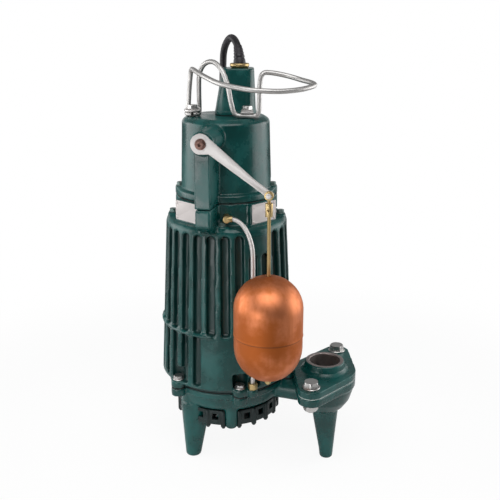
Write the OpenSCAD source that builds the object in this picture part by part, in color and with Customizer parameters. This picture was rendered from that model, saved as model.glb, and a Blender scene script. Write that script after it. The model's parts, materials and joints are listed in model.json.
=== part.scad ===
// Submersible sump pump with an outside copper float, for a 1 1/2 inch discharge pipe.
// Heights are measured from the floor. Inside this file the motor's axis is the Z axis.

/* [Feet and pump case] */
// Height of the case floor above the ground
case_z = 89; // [70:1:110]
// Height of the case, from its floor to its joint face
case_h = 35; // [32:1:45]
// Outer radius of the case's round wall
case_r = 86; // [84:1:90]
// Distance of the case flange's rim inside the foot of the motor's body
flange_inset = 10; // [7:1:11]
// Thickness of the case's flange
case_flange_t = 12; // [10:1:14]
// Radius of the chamber that the impeller turns in
chamber_r = 66; // [62:1:70]
// Thickness of the chamber's floor
chamber_floor = 7; // [6:1:9]
// Radius of the inlet in the chamber's floor
inlet_r = 26; // [20:1:32]
// Radius of a leg at the ground
leg_r = 12; // [9:0.5:14]
// Radius of a leg at its top
leg_top_r = 18; // [15:0.5:19]
// Distance of the two legs under the case from the motor's axis
leg_circle_r = 72; // [68:1:74]
// Direction of the leg at the front left
leg_turn = 222; // [215:1:230]

/* [Strainer] */
// Outer radius of the strainer's wall
strainer_r = 80; // [76:1:82]
// Height of the strainer below the case
strainer_h = 29; // [22:1:36]
// Thickness of the strainer's wall
strainer_wall = 4; // [3:0.5:5]
// Number of teeth round the strainer
tooth_count = 20; // [16:1:24]

/* [Discharge] */
// Distance of the discharge outside the foot of the motor's body
discharge_out = 55.5; // [50:0.5:68]
// Direction of the discharge
discharge_turn = -20; // [-24:1:-16]
// Radius of the pipe thread in the discharge flange
pipe_r = 23; // [20:0.5:24]
// Outer radius of the hub round the pipe thread
pipe_hub_r = 29.5; // [28:0.5:33]
// Height of the joint face under the discharge flange
discharge_z = 138; // [134:1:142]
// Thickness of the lower flange
lower_flange_t = 13; // [10:1:15]
// Thickness of the upper flange
upper_flange_t = 10; // [8:1:12]
// Height of the hub above the upper flange
pipe_hub_h = 14; // [10:1:20]
// Radius of the flange's middle
flange_mid_r = 47; // [42:1:50]
// Radius of the flange's ends
flange_end_r = 19; // [17:0.5:21]
// Distance of each flange bolt from the middle
flange_bolt_d = 70; // [62:1:74]
// Direction of the flange's long side
flange_turn = 69; // [65:1:75]

/* [Motor housing] */
// Height of the motor housing's flange and body, up to its shoulder
housing_h = 251; // [220:1:280]
// Outer radius of the body at its foot
body_r = 102; // [101:0.5:103]
// Outer radius of the body at its shoulder
body_top_r = 90; // [89:0.5:93]
// Number of cooling fins
fin_count = 28; // [20:1:30]
// Width of the groove between two fins
groove_w = 12.5; // [9:0.5:13.5]
// Depth of the groove between two fins
groove_d = 9; // [6:0.5:10]
// Radius of the room for the stator
bore_r = 76; // [72:0.5:77]
// Height of the band round the fins
band_z = 217; // [190:1:250]
// Outer radius of the neck above the shoulder
neck_r = 73; // [71:0.5:73.5]
// Height of the neck
neck_h = 32; // [31:1:36]
// Thickness of the neck's wall
neck_wall = 15; // [13:1:17]
// Distance of the case bolts inside the foot of the body
bolt_inset = 4; // [2:0.5:6]
// Radius of the case bolts
case_bolt_r = 4; // [3:0.5:5]
// Distance of the shoulder screws outside the neck
shoulder_screw_out = 7.5; // [7:0.5:10]

/* [Name plates, left bare] */
// Width of a plate
plate_w = 48; // [40:1:50]
// Height of a plate
plate_h = 28; // [22:1:28]
// Thickness of a plate
plate_t = 0.8; // [0.5:0.1:1.5]
// Distance of the plates' seats outside the neck
plate_out = 4.5; // [3:0.5:6]

/* [Switch case] */
// Height of the switch case
switch_case_h = 114.5; // [105:0.5:125]
// Width of its flange outside its wall
switch_flange_w = 6.5; // [5:0.5:8]
// Narrowing of its wall from foot to top
switch_draft = 3; // [1:0.5:5]
// Thickness of its wall
switch_wall = 7; // [5:0.5:8]
// Thickness of its top
deck_t = 11; // [9:0.5:12]
// Thickness of its flange
switch_flange_t = 11; // [9:0.5:13]

/* [Float arm] */
// Turn of the arm's pivot from the front
pivot_turn = 13.5; // [10:0.5:18]
// Distance of the pivot below the top of the switch case
pivot_drop = 22.5; // [20.5:0.5:33]
// Distance of the column's face from the motor's axis
column_d = 115; // [110:1:116]
// Width of the column under the pivot
column_w = 22; // [20:1:26]
// Distance of the column's middle from the pivot's axis, to the left
column_side = 3; // [0:0.5:4]
// Radius of the pivot's boss
boss_r = 16; // [14:0.5:17]
// Distance of the arm's inner face from the column's face
arm_out = 10; // [8:0.5:10.5]
// Drop of the arm's end below the pivot
arm_drop = 63; // [50:1:70]
// Thickness of the arm
arm_t = 3; // [2:0.5:3]
// Width of the arm
arm_w = 9; // [7:0.5:11]
// Radius of the arm's hub
arm_hub_r = 14; // [11:0.5:16]
// Radius of the pivot shaft
pivot_r = 4; // [3:0.5:5]

/* [Float and rod] */
// Radius of the float
float_r = 47.5; // [44:0.5:48]
// Height of the float
float_h = 150; // [135:1:156]
// Height of the float's lowest point
float_z = 178; // [174:1:190]
// Height of the upper dome
dome_h = 46; // [38:1:52]
// Height of the lower dome
lower_dome_h = 50; // [42:1:56]
// Thickness of the float's copper
float_wall = 1.2; // [0.8:0.1:2]
// Radius of the float rod
rod_r = 2.4; // [2:0.1:3]
// Room between the float and the side tube
float_room = 3.8; // [3:0.2:12]
// Distance of the collar's underside below the rod's hinge
collar_drop = 27.7; // [25:0.1:50]

/* [Side tube] */
// Radius of the steel tube at the side
tube_r = 3.2; // [2.5:0.1:3.5]
// Distance of the tube's upright outside the foot of the body
tube_out = 4; // [3.5:0.5:5]
// Direction of the tube's upright
tube_turn = 291.6; // [290:0.2:294]

/* [Cord cap and gland] */
// Width of the cord cap at its foot
cap_w = 60; // [56:1:62]
// Width of the cord cap at its top
cap_top_w = 46; // [40:1:50]
// Height of the cord cap
cap_h = 65; // [60:1:70]
// Radius of the brass gland's rim
gland_r = 14; // [12.5:0.5:16]
// Height of the gland above the cap
gland_h = 6.5; // [5:0.5:8]

/* [Guard wire] */
// Radius of the guard's wire
wire_r = 3.4; // [3:0.1:3.5]

/* [Cord] */
// Radius of the cord
cord_r = 5.25; // [4.5:0.05:5.25]
// Radius of the strain relief where it leaves the gland
relief_r = 9.4; // [8:0.1:9.4]
// Turns of the stored coil
coil_turns = 9; // [8:1:9]
// Layers of the stored coil
coil_layers = 4; // [4:2:4]
// Radius at the middle of the coil's turns
coil_mid_r = 60; // [58:1:62]

/* [Shaft and rotor] */
// Radius of the shaft in the rotor
shaft_r = 12.5; // [11:0.5:14]
// Radius of the shaft in the impeller and seal
shaft_end_r = 8; // [7:0.5:9]
// Radius of the rotor
rotor_r = 44; // [40:0.5:46]
// Height of the rotor's and stator's iron
core_h = 110; // [90:1:120]
// Radius of the impeller
impeller_r = 56; // [50:1:60]
// Number of impeller vanes
vane_count = 5; // [4:1:7]

/* [Clearances] */
// Air gap between rotor and stator
air_gap = 0.6; // [0.4:0.1:1]
// Gap between pieces that sit in one another
seat_gap = 0.15; // [0.1:0.05:0.2]
// Gap round a turning shaft
run_gap = 0.05; // [0.03:0.01:0.08]
// Gap between the faces of moving pieces
face_gap = 0.3; // [0.2:0.05:0.5]
// Gap round a bolt in its hole
bolt_gap = 0.4; // [0.2:0.1:0.6]
// Thickness of the gaskets
gasket_t = 1; // [0.8:0.1:1.5]

/* [Hidden] */
$fn = 64;
little = 0.01;

green = [0.05, 0.27, 0.24];
steel = [0.8, 0.8, 0.8];
brass = [0.78, 0.62, 0.32];
copper = [0.85, 0.48, 0.3];
black = [0.1, 0.1, 0.11];
iron = [0.45, 0.46, 0.48];

// Heights that follow from the sizes above
strainer_z = case_z - strainer_h;
case_top = case_z + case_h;
flange_z = case_top + gasket_t;
flange_t = 12;
flange_top = flange_z + flange_t;
body_z = flange_top - 4;
shoulder_z = flange_z + housing_h;
neck_top = shoulder_z + neck_h;
switch_z = neck_top + gasket_t;
switch_top = switch_z + switch_case_h;
deck_z = switch_top - deck_t;
pivot_z = switch_top - pivot_drop;
cap_z = switch_top + gasket_t;
cap_top = cap_z + cap_h;
gland_top = cap_top + gland_h;

// Distances that follow from the body's foot
case_flange_r = body_r - flange_inset;
case_bolt_d = body_r - bolt_inset;
discharge_d = body_r + discharge_out;
tube_d = body_r + tube_out;

// Distances that follow from the neck
neck_bore_r = neck_r - neck_wall;
shoulder_screw_d = neck_r + shoulder_screw_out;
plate_d = neck_r + plate_out;
switch_foot_r = neck_r - switch_flange_w;
switch_top_r = switch_foot_r - switch_draft;
switch_bolt_d = neck_r - 5;
shoulder_screw_turn = 267;

// Legs and case
leg_foot_fillet = 3;
bolt_turn = leg_turn;
bolt_lug_r = 11;
neck_out_r = 17;
neck_in_r = 12.5;
neck_mid_z = case_z + 17.5;
neck_start = chamber_r - 6;
discharge_pos = discharge_d * [cos(discharge_turn), sin(discharge_turn)];
passage_r = 20;
bowl_r = flange_mid_r - 2;
boss_turn = leg_turn + 53;
boss_d = strainer_r - 7;
case_boss_r = 7.5;
screw_r = 2.5;
screw_d = 52;
screw_post_r = 6;
legs = [[leg_circle_r, leg_turn], [leg_circle_r, leg_turn - 120], [discharge_d + 5, discharge_turn]];

// Rotor and bearings
case_room = 3;
impeller_z = case_z + chamber_floor + case_room;
impeller_h = 14;
seal_h = 20;
seal_z = flange_z - 5;
seal_out_r = shaft_end_r + 5;
plate_thick = 8;
bearing_in_r = 10;
bearing_out_r = 23.5;
bearing_w = 14;
bearing_z = flange_z + 16;
upper_bearing_in_r = 8.5;
upper_bearing_out_r = 20;
upper_bearing_w = 12;
bracket_t = 12;
bracket_z = shoulder_z - 26 - bracket_t;
core_z = (bearing_z + bearing_w + bracket_z - core_h) / 2;
winding_h = 22;
winding_r = [rotor_r + 6, bore_r - 6];

// Switch case
switch_lug_r = 7.5;
switch_in_r = switch_top_r - switch_wall;
base_r = neck_bore_r + 4;
base_t = 3;
boss_face = column_d + 6;
arm_d = column_d + arm_out;

// Pivot and arm, in the frame that turns with the pivot: X along the arm, -Y outwards
bushing_r = pivot_r + 3;
boss_end = arm_d - face_gap;
shaft_in = 22;
cam_d = 30;
cam_r = 9;
cam_t = 8;
pin_r = 2;
eye_r = 6;
eye_t = 2 * rod_r + 0.2;
eye_d = arm_d + arm_t + face_gap;
rod_d = eye_d + eye_t / 2;
// Reach of the arm, measured level, that keeps the float clear of the side tube
arm_reach = sqrt(pow(tube_d + tube_r + float_room + float_r, 2) - pow(rod_d, 2));
arm_len = norm([arm_reach, arm_drop]);
arm_slope = atan2(arm_drop, arm_reach);
eye_z = pivot_z - arm_drop;
float_top = float_z + float_h;
seam_z = float_z + lower_dome_h + 17;
sleeve_r = [rod_r + 0.1, rod_r + 1.1];
nut_h = 5;
washer_t = 1;
collar_z = eye_z - collar_drop;
collar_h = 18;
rod_pos = [arm_reach * cos(pivot_turn) - rod_d * sin(pivot_turn),
    -arm_reach * sin(pivot_turn) - rod_d * cos(pivot_turn)];

// Side tube
fitting_turn = 271.5;
fitting_z = neck_top - 18;
tube_foot = flange_z + 4;
tube_lug_r = 8;
tube_up = tube_d * [cos(tube_turn), sin(tube_turn)];
tube_start = (neck_r + 11) * [cos(fitting_turn), sin(fitting_turn)];

// Cord cap, gland and guard
cap_pos = [14, 15];
gland_pos = [20, 15];
gland_thread_r = 11;
ear_pos = [31, -23];
ear_r = 9;
wire_gap = 0.2;
ear_h = 2 * (wire_r + wire_gap);
wire_z = switch_top + wire_gap + wire_r;
clip_r = ear_r - face_gap;
washer_r = 12.5;
left_bolt = [-47, -9];
clip_t = 2.5;

// The whole part stands with the middle of its footprint at the origin
reach_right = discharge_pos[0] + flange_mid_r;
reach_left = max(body_r, -case_bolt_d * cos(bolt_turn - 60) + bolt_lug_r);
reach_front = -rod_pos[1] + float_r;
reach_back = max(body_r, case_bolt_d * sin(bolt_turn - 120) + bolt_lug_r);
shift = [(reach_left - reach_right) / 2, (reach_front - reach_back) / 2, 0];

// Guard wire: from under the left washer, up, round the guard, down, over the arch and back
wire_route = [[-48, -17.5, wire_z], [-53, -15, wire_z], [-55.5, -9, wire_z], [-55.5, -1, wire_z],
    [-55.5, 4, wire_z + 1], [-55.3, 7, wire_z + 5], [-55, 7.5, wire_z + 12], [-55, 6, 558],
    [-55, 5, 576], [-54, 0, 586],
    [-51, -14, 588], [-42, -37, 586], [-27, -66, 582], [-4, -95, 576], [27, -113, 571],
    [50, -116, 569], [76, -112, 568], [102, -101, 569.5], [120, -82, 572.5], [119, -65, 574.5],
    [106, -46, 577], [86, -36, 582], [64, -36, 586], [53, -38, 585], [49, -39, 574], [48, -40, 550],
    [47.5, -40, wire_z + 8], [45, -39.5, wire_z + 1.5], [40, -39, wire_z], [30, -38, wire_z],
    [22, -38, wire_z], [15.5, -37.5, wire_z + 1.5], [11.5, -37, wire_z + 7], [8, -36, 548],
    [4, -32, 568], [-4, -25, 588], [-16, -14, 599], [-29, -4, 596], [-37, 4, 582],
    [-38.5, 7, 562], [-38.5, 7.5, wire_z + 12], [-38.5, 7, wire_z + 5],
    [-38.5, 4, wire_z + 1], [-38.5, -1, wire_z], [-38.5, -9, wire_z], [-41, -15, wire_z],
    [-46, -17.5, wire_z]];

// Cord: from the gland over one loop, down behind the pump and into the coil
relief_points = 2;
cord_steps = 3;
cord_route = [[20, 15, 596.5], [19, 18, 608], [17, 25, 619], [13, 36, 627], [8, 49, 630],
    [3, 62, 627], [-2, 73, 618], [-5, 81, 606], [-6, 86, 590], [-7, 90, 565], [-7, 94, 535],
    [-7, 98, 500], [-7, 102, 465], [-7, 106, 430], [-7, 110, 395], [-7, 113, 360],
    [-7, 115, 320], [-7, 117, 280], [-7, 118, 240], [-7, 119, 200], [-7, 119, 160],
    [-7, 120, 120], [-7, 120, 80], [-6, 121, 52], [-1, 124, 28], [10, 130, 12],
    [24, 137, 6], [34, 142.3, 5.3]];
coil_pos = [15, 215];
coil_start = -60;
coil_pitch = 2 * cord_r + 0.6;
layer_turns = coil_turns / coil_layers;
coil_out_r = coil_mid_r + coil_pitch * layer_turns / 2;
coil_top_z = cord_r + (coil_layers - 1) * coil_pitch;
tail_route = [[71, 165, 41.5], [80, 179, 46], [83, 194, 49.5], [81, 209, 50.5],
    [73, 223, 51], [61, 234, 52.5], [46, 242, 55], [30, 245.5, 57.5], [20, 246, 58.2]];
plug_pos = [10, 246, 58.2];
plug_len = 44;
plug_t = 28;
plug_w = 34;

// Side tube, from its upper fitting round and down
tube_socket = 8;
tube_route = [[tube_start[0], tube_start[1], fitting_z],
    [tube_start[0] + tube_socket / 2, tube_start[1], fitting_z],
    [tube_start[0] + tube_socket, tube_start[1], fitting_z],
    [18, -86.5, fitting_z - 2.5], [26, -90, fitting_z - 9], [33, -94.5, fitting_z - 21],
    [37.5, -97.5, fitting_z - 36], [tube_up[0], tube_up[1], fitting_z - 56],
    [tube_up[0], tube_up[1], 280], [tube_up[0], tube_up[1], 210], [tube_up[0], tube_up[1], tube_foot]];

function unit(v) = v / norm(v);
function heading(p, i) = unit(p[min(i + 1, len(p) - 1)] - p[max(i - 1, 0)]);
function upright(v, t) = unit(v - (v * t) * t);
// A side vector for each point, carried along the path without a twist
function side_vectors(p, v, i = 0, out = []) =
    i == len(p) ? out : side_vectors(p, upright(v, heading(p, i)), i + 1,
        concat(out, [upright(v, heading(p, i))]));
function between(a, b, c, d, u) =
    0.5 * (2 * b + (c - a) * u + (2 * a - 5 * b + 4 * c - d) * u * u + (3 * b - a - 3 * c + d) * u * u * u);
// A smooth path through the points of p, with n steps from each point to the next
function smooth(p, n) = concat(
    [for (i = [0:len(p) - 2], j = [0:n - 1])
        between(p[max(i - 1, 0)], p[i], p[i + 1], p[min(i + 2, len(p) - 1)], j / n)],
    [p[len(p) - 1]]);

// A round tube along p from point a to point b. radii holds one radius for each point of p
module swept(p, radii, sides, a, b, first_side = [0.3, 0.2, 0.9]) {
    w = side_vectors(p, upright(first_side, heading(p, 0)));
    points = [for (i = [a:b], k = [0:sides - 1])
        p[i] + radii[i] * (cos(360 * k / sides) * w[i] + sin(360 * k / sides) * cross(heading(p, i), w[i]))];
    last = (b - a) * sides;
    faces = concat(
        [for (i = [0:b - a - 1], k = [0:sides - 1])
            [i * sides + k, (i + 1) * sides + k, (i + 1) * sides + (k + 1) % sides]],
        [for (i = [0:b - a - 1], k = [0:sides - 1])
            [i * sides + k, (i + 1) * sides + (k + 1) % sides, i * sides + (k + 1) % sides]],
        [for (k = [1:sides - 2]) [0, k, k + 1]],
        [for (k = [1:sides - 2]) [last, last + k + 1, last + k]]);
    polyhedron(points, faces, convexity = 8);
}
module even_tube(p, r, sides) swept(p, [for (q = p) r], sides, 0, len(p) - 1);

// Moves the model from the motor's axis to the part's origin
module stand() translate(shift) children();
module at(turn, d, z) rotate([0, 0, turn]) translate([d, 0, z]) children();
module pivot_frame() rotate([0, 0, -pivot_turn]) children();
// A bar along the pivot's axis, from distance d outwards
module along_pivot(d) translate([0, -d, pivot_z]) rotate([90, 0, 0]) children();
module ring(r_out, r_in, h) difference() {
    cylinder(h = h, r = r_out);
    translate([0, 0, -1]) cylinder(h = h + 2, r = r_in);
}
// Hexagonal head with its across-corners radius
module hex(r, h) cylinder(h = h, r = r, $fn = 6);
// Bolt standing at z = 0 under its head, with its shank downwards
module bolt(r, len, head_h) {
    hex(r * 1.85, head_h);
    translate([0, 0, -len]) cylinder(h = len + little, r = r);
}

// Outline of the discharge flange: a round middle drawn out to two round ends
function arc(x, r, from, to, n) =
    [for (k = [0:n]) let (t = from + (to - from) * k / n) [x + r * cos(t), r * sin(t)]];
module flange_outline(mid_r, end_r, d) let (a = acos((mid_r - end_r) / d))
    polygon(concat(arc(d, end_r, -a, a, 16), arc(0, mid_r, a, 180 - a, 10),
        arc(-d, end_r, 180 - a, 180 + a, 16), arc(0, mid_r, 180 + a, 360 - a, 10)));
module at_discharge(z) translate([discharge_pos[0], discharge_pos[1], z]) children();
module at_flange_bolts(z) at_discharge(z) rotate([0, 0, flange_turn])
    for (x = [-flange_bolt_d, flange_bolt_d]) translate([x, 0, 0]) children();
module at_switch_bolts(z) for (turn = [0, 90, 180]) at(turn, switch_bolt_d, z) children();
module at_case_bolts(z) for (k = [0:5]) at(bolt_turn + 60 * k, case_bolt_d, z) children();

module leg(h) rotate_extrude() polygon([[0, 0], [leg_r - leg_foot_fillet, 0], [leg_r - 1, 1],
    [leg_r, leg_foot_fillet], [leg_top_r, h], [0, h]]);

module case_outside() {
    rotate_extrude() polygon(concat([[0, case_z]],
        [for (a = [0:15:90]) [case_r - 16 + 16 * sin(a), case_z + 16 - 16 * cos(a)]],
        [[case_r, case_top - case_flange_t], [case_flange_r, case_top - case_flange_t + 3],
            [case_flange_r, case_top], [0, case_top]]));
    at_case_bolts(case_top - case_flange_t) cylinder(h = case_flange_t, r = bolt_lug_r);
    translate([0, 0, neck_mid_z]) rotate([0, 90, discharge_turn])
        translate([0, 0, neck_start + 8]) cylinder(h = discharge_d - neck_start - 8, r = neck_out_r);
    at_discharge(0) rotate_extrude() polygon([[0, case_z - 6], [20, case_z - 6], [30, case_z + 1],
        [39, case_z + 14], [bowl_r - 1, discharge_z - lower_flange_t - 6],
        [bowl_r, discharge_z - lower_flange_t], [0, discharge_z - lower_flange_t]]);
    at_discharge(discharge_z - lower_flange_t) rotate([0, 0, flange_turn])
        linear_extrude(lower_flange_t) flange_outline(flange_mid_r, flange_end_r, flange_bolt_d);
    for (k = [0, 1]) at(legs[k][1], legs[k][0], 0) leg(case_z + 4);
    at(legs[2][1], legs[2][0], 0) leg(case_z - 2);
    for (k = [0:2]) at(boss_turn + 120 * k, boss_d, strainer_z + 1) {
        translate([0, 0, 2]) cylinder(h = strainer_h + 4, r = case_boss_r);
        cylinder(h = 2.1, r1 = case_boss_r - 2, r2 = case_boss_r);
    }
}
module pump_case() color(green) stand() difference() {
    case_outside();
    translate([0, 0, case_z + chamber_floor]) cylinder(h = case_h, r = chamber_r);
    translate([0, 0, case_z - 1]) cylinder(h = case_h, r = inlet_r);
    translate([0, 0, neck_mid_z]) rotate([0, 90, discharge_turn])
        translate([0, 0, neck_start]) cylinder(h = discharge_d - neck_start, r = neck_in_r);
    at_discharge(neck_mid_z - neck_in_r - 1.5) cylinder(h = 100, r = passage_r);
    at_case_bolts(case_top - 8) cylinder(h = 20, r = case_bolt_r + bolt_gap);
    at_flange_bolts(discharge_z - lower_flange_t - 40) cylinder(h = 60, r = 6.35 + bolt_gap);
    for (k = [0:2]) at(boss_turn + 120 * k, screw_d, case_z - 1) cylinder(h = 6, r = screw_r + seat_gap);
}

// Strainer: a slotted wall between round teeth, a slotted floor and three screw posts
module strainer_base() color(black) stand() difference() {
    union() {
        translate([0, 0, strainer_z + 6]) ring(strainer_r - 1, strainer_r - 1 - strainer_wall, strainer_h - 6);
        translate([0, 0, strainer_z + 6]) cylinder(h = 4, r = strainer_r - 2);
        for (k = [0:tooth_count - 1]) at(boss_turn + 360 * (k + 0.5) / tooth_count, strainer_r - 3, strainer_z) {
            translate([0, 0, 3]) cylinder(h = strainer_h - 3.5, r = 4);
            cylinder(h = 3.1, r1 = 2.2, r2 = 4);
        }
        for (k = [0:2]) at(boss_turn + 120 * k, screw_d, strainer_z + 8)
            cylinder(h = strainer_h - 8, r = screw_post_r);
    }
    translate([0, 0, strainer_z - 1]) cylinder(h = 20, r = inlet_r);
    for (k = [0:tooth_count - 1]) at(boss_turn + 360 * k / tooth_count, strainer_r - 8, strainer_z + 14)
        translate([0, -5, 0]) cube([12, 10, 10]);
    for (k = [0:11]) at(30 * k + 15, inlet_r + 10, strainer_z + 3) translate([0, -2.5, 0]) cube([26, 5, 10]);
    for (l = legs) at(l[1], l[0], -little) cylinder(h = case_z + 1, r = leg_top_r + 1.5);
    for (k = [0:2]) at(boss_turn + 120 * k, boss_d, strainer_z - 1)
        cylinder(h = strainer_h + 2, r = case_boss_r + seat_gap);
    for (k = [0:2]) at(boss_turn + 120 * k, screw_d, strainer_z + 1) cylinder(h = strainer_h, r = screw_r + seat_gap);
}
module strainer_screws() color(steel) stand() for (k = [0:2])
    at(boss_turn + 120 * k, screw_d, strainer_z + 2) {
        difference() {
            cylinder(h = 4, r = 5);
            translate([0, 0, -1]) hex(2.3, 3);
        }
        translate([0, 0, 4 - little]) cylinder(h = strainer_h - 3, r = screw_r);
    }

module vane() linear_extrude(impeller_h - 5) for (k = [0:5])
    polygon([for (q = [[0, -1.6], [1, -1.6], [1, 1.6], [0, 1.6]])
        let (s = (k + q[0]) / 6, d = 15 + (impeller_r - 17) * s, a = -50 * s)
        [d * cos(a) - q[1] * sin(a - 40), d * sin(a) + q[1] * cos(a - 40)]]);
module impeller() color(brass) stand() translate([0, 0, impeller_z]) difference() {
    union() {
        translate([0, 0, impeller_h - 5]) cylinder(h = 5, r = impeller_r);
        cylinder(h = impeller_h + 3, r = 16);
        for (k = [0:vane_count - 1]) rotate([0, 0, 360 * k / vane_count]) vane();
    }
    translate([0, 0, -1]) cylinder(h = impeller_h + 6, r = shaft_end_r + run_gap);
}
module impeller_nut() color(steel) stand() translate([0, 0, impeller_z - 7]) difference() {
    hex(shaft_end_r + 5, 7);
    translate([0, 0, 3]) cylinder(h = 5, r = shaft_end_r + run_gap);
}
module motor_shaft() color(steel) stand() rotate_extrude() polygon([[0, impeller_z - 4],
    [shaft_end_r, impeller_z - 4], [shaft_end_r, bearing_z - 0.5], [bearing_in_r, bearing_z - 0.5],
    [bearing_in_r, bearing_z + bearing_w], [shaft_r, bearing_z + bearing_w + 1],
    [shaft_r, bracket_z - 6], [upper_bearing_in_r, bracket_z - 5],
    [upper_bearing_in_r, bracket_z + bracket_t + 2], [0, bracket_z + bracket_t + 2]]);
module rotor_core() color(iron) stand() difference() {
    union() {
        translate([0, 0, core_z]) cylinder(h = core_h, r = rotor_r);
        translate([0, 0, core_z - 8]) cylinder(h = core_h + 16, r = rotor_r - 4);
    }
    translate([0, 0, core_z - 9]) cylinder(h = core_h + 18, r = shaft_r + run_gap / 2);
}
module shaft_seal() color(black) stand() translate([0, 0, seal_z]) difference() {
    union() {
        cylinder(h = seal_h, r = seal_out_r);
        cylinder(h = 5 - little, r = seal_out_r + 3);
    }
    translate([0, 0, -1]) cylinder(h = seal_h + 2, r = shaft_end_r + run_gap);
}
module bearing(r_out, r_in, w) difference() {
    ring(r_out, r_in, w);
    for (z = [-1, w - 1]) translate([0, 0, z]) ring(r_out - 3, r_in + 3, 2);
}
module lower_bearing() color(steel) stand() translate([0, 0, bearing_z])
    bearing(bearing_out_r, bearing_in_r + run_gap, bearing_w);
module seal_plate() color(iron) stand() difference() {
    union() {
        translate([0, 0, flange_z]) cylinder(h = plate_thick, r = bore_r - seat_gap);
        translate([0, 0, flange_z]) cylinder(h = bearing_z + bearing_w - flange_z, r = bearing_out_r + 8);
    }
    translate([0, 0, bearing_z]) cylinder(h = bearing_w + 1, r = bearing_out_r + seat_gap);
    translate([0, 0, flange_z - 1]) cylinder(h = 40, r = seal_out_r + seat_gap);
}

module case_gasket() color(black) stand() difference() {
    union() {
        translate([0, 0, case_top]) cylinder(h = gasket_t, r = case_flange_r - 0.5);
        at_case_bolts(case_top) cylinder(h = gasket_t, r = bolt_lug_r - 0.5);
    }
    translate([0, 0, case_top - 1]) cylinder(h = gasket_t + 2, r = chamber_r);
    at_case_bolts(case_top - 1) cylinder(h = gasket_t + 2, r = case_bolt_r + bolt_gap);
}

body_draft = atan((body_r - body_top_r) / (shoulder_z - body_z));
groove_top = shoulder_z - 10;
// One groove: a slot with an arched top, standing on the case flange and leaning with the body
module groove(turn, bottom, top) at(turn, 0, 0) translate([body_r - groove_d, 0, body_z])
    rotate([0, -body_draft, 0]) translate([0, 0, bottom - body_z]) rotate([90, 0, 90])
        linear_extrude(groove_d * 3) polygon(concat([[-groove_w / 2, 0], [groove_w / 2, 0]],
            [for (a = [0:20:180]) [groove_w / 2 * cos(a), top - bottom + groove_w / 2 * (sin(a) - 1)]]));
pad_half = 13;
function in_pad(turn) = abs(turn - 270) < pad_half;
function under_plate(turn) = abs(turn - 306) < 14;
module body_solid() {
    rotate_extrude() polygon([[0, body_z], [body_r, body_z], [body_top_r, shoulder_z - 5],
        [body_top_r - 4, shoulder_z], [0, shoulder_z]]);
    translate([0, 0, flange_z]) cylinder(h = flange_t, r = case_flange_r);
    at_case_bolts(flange_z) cylinder(h = flange_t, r = bolt_lug_r);
    at(tube_turn, tube_d, flange_z) cylinder(h = flange_t, r = tube_lug_r);
    translate([0, 0, shoulder_z]) cylinder(h = neck_h, r = neck_r);
    for (turn = [225, 315]) rotate([0, 0, turn]) translate([0, -plate_w / 2 - 1, neck_top - plate_h - 2])
        cube([plate_d, plate_w + 2, plate_h + 2]);
    pivot_frame() translate([-column_w / 2 - column_side, 0, 0]) rotate([90, 0, 90]) linear_extrude(column_w)
        polygon([[-neck_r + 8, shoulder_z - 8], [-body_top_r + 2, shoulder_z - 8], [-column_d, shoulder_z + 8],
            [-column_d, neck_top], [-neck_r + 8, neck_top]]);
    for (k = [0:3]) at(shoulder_screw_turn + 90 * k, shoulder_screw_d, shoulder_z - 22) cylinder(h = 25, r = 8);
    at_switch_bolts(neck_top - 20) cylinder(h = 20, r = switch_lug_r);
}
module motor_housing() color(green) stand() difference() {
    union() {
        difference() {
            body_solid();
            for (k = [0:fin_count - 1]) let (t = (270 + 360 * k / fin_count) % 360)
                groove(t, in_pad(t) ? band_z : flange_top, under_plate(t) ? groove_top - 30 : groove_top);
        }
        rotate([0, 0, 282]) rotate_extrude(angle = 336) translate([bore_r + 4, band_z - 2])
            square([body_r - 1 - bore_r - 4, 4]);
    }
    translate([0, 0, flange_z - 1]) cylinder(h = bracket_z + bracket_t - flange_z + 1, r = bore_r);
    translate([0, 0, flange_z]) cylinder(h = 400, r = neck_bore_r);
    at_case_bolts(flange_z - 1) cylinder(h = 20, r = case_bolt_r + bolt_gap);
    at_case_bolts(flange_top) cylinder(h = 22, r = bolt_lug_r + face_gap);
    for (k = [0:3]) at(shoulder_screw_turn + 90 * k, shoulder_screw_d, shoulder_z - 15)
        cylinder(h = 20, r = 3 + seat_gap);
    at(fitting_turn, neck_r - 8, fitting_z) rotate([0, 90, 0]) cylinder(h = 20, r = 3.5 + seat_gap);
    at(tube_turn, tube_d, flange_z + 3) cylinder(h = 20, r = tube_r + seat_gap);
    at(tube_turn, tube_d, flange_top) cylinder(h = 14, r = tube_lug_r + face_gap);
    at_switch_bolts(neck_top - 16) cylinder(h = 20, r = 3 + seat_gap);
}
module case_bolts() color(steel) stand() at_case_bolts(flange_top) bolt(case_bolt_r, flange_t + gasket_t + 7, 6);
module stator_core() color(iron) stand() translate([0, 0, core_z])
    ring(bore_r - seat_gap, rotor_r + air_gap, core_h);
module stator_windings() color(copper) stand() for (z = [core_z - winding_h, core_z + core_h])
    translate([0, 0, z]) ring(winding_r[1], winding_r[0], winding_h);
module upper_bracket() color(iron) stand() difference() {
    translate([0, 0, bracket_z]) cylinder(h = bracket_t, r = bore_r - seat_gap);
    translate([0, 0, bracket_z - 1]) cylinder(h = bracket_t + 2, r = upper_bearing_out_r + seat_gap);
    for (k = [0:5]) at(60 * k, 42, bracket_z - 1) cylinder(h = bracket_t + 2, r = 11);
}
module upper_bearing() color(steel) stand() translate([0, 0, bracket_z])
    bearing(upper_bearing_out_r, upper_bearing_in_r + run_gap, upper_bearing_w);
module shoulder_screws() color(steel) stand() for (k = [0:3])
    at(shoulder_screw_turn + 90 * k, shoulder_screw_d, shoulder_z + 3) bolt(3, 16, 5);

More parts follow.
